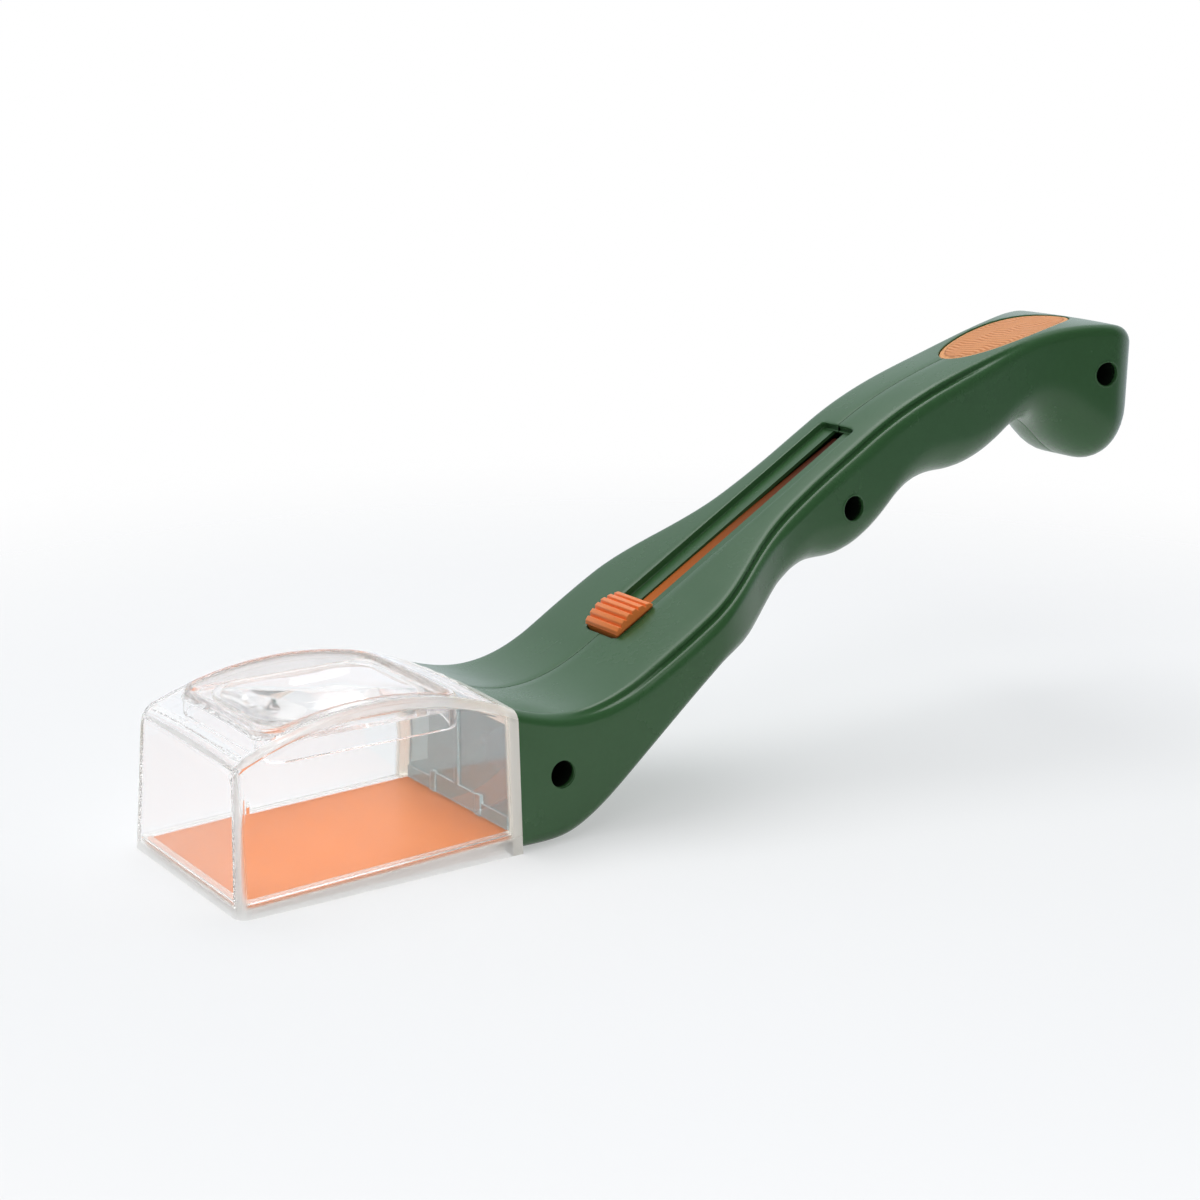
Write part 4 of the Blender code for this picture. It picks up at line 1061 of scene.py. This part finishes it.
def lens():
    """Square magnifier with round corners: flat edge, a dome above and a deeper one below."""
    length = FRAME_LENGTH - 2 * LENS_BORDER
    width = FRAME_WIDTH - 2 * LENS_BORDER
    low = FRAME_FLOOR + LENS_LIFT
    high = low + LENS_EDGE
    inner = LENS_SEAT + LIP

    def ring(inset, share, height):
        outline = rounded_outline(share * (length - 2 * inset), share * (width - 2 * inset),
                                  share * (LENS_CORNER - inset))
        return [(x, y, height) for x, y in outline]

    turns = [math.radians(90 * step / LENS_RINGS) for step in range(1, LENS_RINGS)]
    shares = [0.02] + [math.sin(turn) for turn in turns]
    rings = [ring(inner, share, low - LENS_BELLY * (1 - share**2)) for share in shares]
    rings += [ring(inner, 1.0, low), ring(0.0002, 1.0, low)]
    rings += [ring(0.0, 1.0, low + 0.0002), ring(0.0, 1.0, high - LIP)]
    rings += [ring(LIP, 1.0, high), ring(inner - 0.0004, 1.0, high)]
    rings += [ring(inner, share, high + LENS_DOME * (1 - share**2)) for share in reversed(shares)]
    bm = bmesh.new()
    add_loft(bm, rings)
    return piece_from("lens", bm, LENS, replaces=("magnifier_lens",), angle=30)


lens_frame()
lens()


# Pieces that keep their solid's shape
for node, material in (("capture_chamber", BOX), ("chamber_back_wall", BACK), ("slider_carriage", ORANGE),
                       ("slider_screw", STEEL), ("handle_screw_front", STEEL), ("handle_screw_middle", STEEL),
                       ("handle_screw_rear", STEEL)):
    dress(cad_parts[node], material, 35)


# Stage


def open_view(finish):
    """1 for what the camera sees, straight or through clear plastic."""
    seen = finish.add("LightPath", None, None, out="Is Camera Ray")
    through = finish.add("LightPath", None, None, out="Is Transmission Ray")
    return seen.math("MAXIMUM", seen, through)


PALE_SHADOW = 0.42             # how much the shadow is lifted towards the white paper
FLOOR_RADIUS = 0.43
FLOOR_FADE = (0.17, 0.42)      # distances between which the floor fades out
PAPER = 0.93


def floor():
    """Pale floor that fades out into the backdrop away from the object."""
    bm = bmesh.new()
    bmesh.ops.create_circle(bm, cap_ends=True, segments=64, radius=FLOOR_RADIUS)
    mesh = bpy.data.meshes.new("floor")
    bm.to_mesh(mesh)
    bm.free()
    piece = bpy.data.objects.new("floor", mesh)
    bpy.context.collection.objects.link(piece)
    material, finish = new_finish("floor_paper")
    place = finish.add("TexCoord", None, None, out="Object")
    reach = finish.add("VectorMath", {"operation": "LENGTH"}, {0: place}, out="Value")
    fade = reach.step(*FLOOR_FADE)
    paper = finish.add("BsdfDiffuse", None, {"Color": grey(PAPER)})
    white = finish.add("Emission", None, {"Color": grey(1.0), "Strength": 1.0})
    clear_view = open_view(finish)
    mirrored = finish.add("LightPath", None, None, out="Is Glossy Ray")
    lifted = clear_view.math("MAXIMUM", clear_view, mirrored) * PALE_SHADOW
    pale = finish.add("MixShader", None, {0: lifted, 1: paper, 2: white})
    window = finish.add("BsdfTransparent", None, {"Color": grey(1.0)})
    mixed = finish.add("MixShader", None, {0: fade, 1: pale, 2: window})
    finish.add("OutputMaterial", None, {"Surface": mixed})
    mesh.materials.append(material)


BEHIND = (0.58, 0.81, 0.0)     # level direction away from the camera
LOW_BACK = 1.12                # brightness of the studio behind the object, near the floor
HIGH_BACK = 0.76               # and higher up
CAMERA_SIDE = 0.11
FAR_FLOOR = 0.42               # the floor beyond the paper
COOL_LIGHT = (0.92, 0.985, 1.07, 1)
HIGHER_UP = (0.25, 0.60)       # rise of a ray between low and high on the backdrop
TURN_REAR = (-0.1, 0.5)        # from the camera's side to the rear half
BELOW = (-0.20, -0.04)         # rise of a ray that goes to the floor


def backdrop():
    """White studio behind the object, dim on the camera's side; clear plastic and gloss show it white."""
    world = bpy.data.worlds.new("studio")
    bpy.context.scene.world = world
    world.use_nodes = True
    finish = Finish(world.node_tree)
    ray = finish.add("TexCoord", None, None, out="Generated")
    rise = axis_of(finish, ray, "Z")
    behind = finish.add("VectorMath", {"operation": "DOT_PRODUCT"}, {0: ray, 1: BEHIND}, out="Value")
    back = rise.step(*HIGHER_UP, LOW_BACK, HIGH_BACK)
    rear_half = behind.step(*TURN_REAR)
    level = CAMERA_SIDE + (back - CAMERA_SIDE) * rear_half
    level = level.math("MAXIMUM", level, rise.step(*BELOW, FAR_FLOOR, 0.0))
    clear_view = open_view(finish)
    mirrored = finish.add("LightPath", None, None, out="Is Glossy Ray")
    inside = finish.add("LightPath", None, None, out="Transmission Depth").step(0.0, 1.0)
    white = clear_view.math("MAXIMUM", clear_view, mirrored * rear_half.math("MAXIMUM", rear_half, inside))
    strength = level + (1 - level) * white
    tint = blend_color(finish, clear_view, COOL_LIGHT, grey(1.0))
    glow = finish.add("Background", None, {"Color": tint, "Strength": strength})
    finish.add("OutputWorld", None, {"Surface": glow})


# Soft lamps: name, place, aim, size and power
LAMPS = (("key", (-0.40, -0.50, 0.90), (0.0, 0.0, 0.03), 0.6, 2.0),
         ("low_fill", (-0.20, -0.38, 0.10), (-0.04, 0.0, 0.02), 0.25, 0.18),
         ("overhead", (0.05, 0.25, 1.0), (0.0, 0.0, 0.03), 0.8, 5.7))


def lamp(name, place, aim, size, power):
    """Square lamp turned towards its aim."""
    data = bpy.data.lights.new(name, "AREA")
    data.shape = "SQUARE"
    data.size = size
    data.energy = power
    light = bpy.data.objects.new(name, data)
    light.location = place
    light.rotation_euler = (Vector(aim) - Vector(place)).to_track_quat("-Z", "Y").to_euler()
    bpy.context.collection.objects.link(light)


CAMERA_TURN = (-35.51, 14.86, 0.66)                # azimuth, elevation and roll in degrees
CAMERA_PLACE = Vector((-0.2620, -0.4230, 0.1857))  # from the plane where box and handle meet
CAMERA_LENS = 66.936
CAMERA_SENSOR = 36.0


def camera():
    """Camera at the photograph's viewpoint."""
    azimuth, elevation, roll = (math.radians(angle) for angle in CAMERA_TURN)
    back = Vector((math.sin(azimuth) * math.cos(elevation), -math.cos(azimuth) * math.cos(elevation),
                   math.sin(elevation)))
    right = Vector((math.cos(azimuth), math.sin(azimuth), 0.0))
    up = back.cross(right)
    across = math.cos(roll) * right + math.sin(roll) * up
    upright = math.cos(roll) * up - math.sin(roll) * right
    turn = Matrix((across, upright, back)).transposed().to_4x4()
    data = bpy.data.cameras.new("camera")
    data.lens = CAMERA_LENS
    data.sensor_width = CAMERA_SENSOR
    data.clip_start = 0.01
    view = bpy.data.objects.new("camera", data)
    view.matrix_world = Matrix.Translation(CAMERA_PLACE + SHIFT) @ turn
    bpy.context.collection.objects.link(view)
    bpy.context.scene.camera = view


floor()
backdrop()
for values in LAMPS:
    lamp(*values)
camera()
bpy.context.scene.view_settings.view_transform = "Standard"
# Clear walls pass light on many times before it comes out
bpy.context.scene.cycles.glossy_bounces = 48
bpy.context.scene.cycles.max_bounces = 64
bpy.context.scene.cycles.transmission_bounces = 48
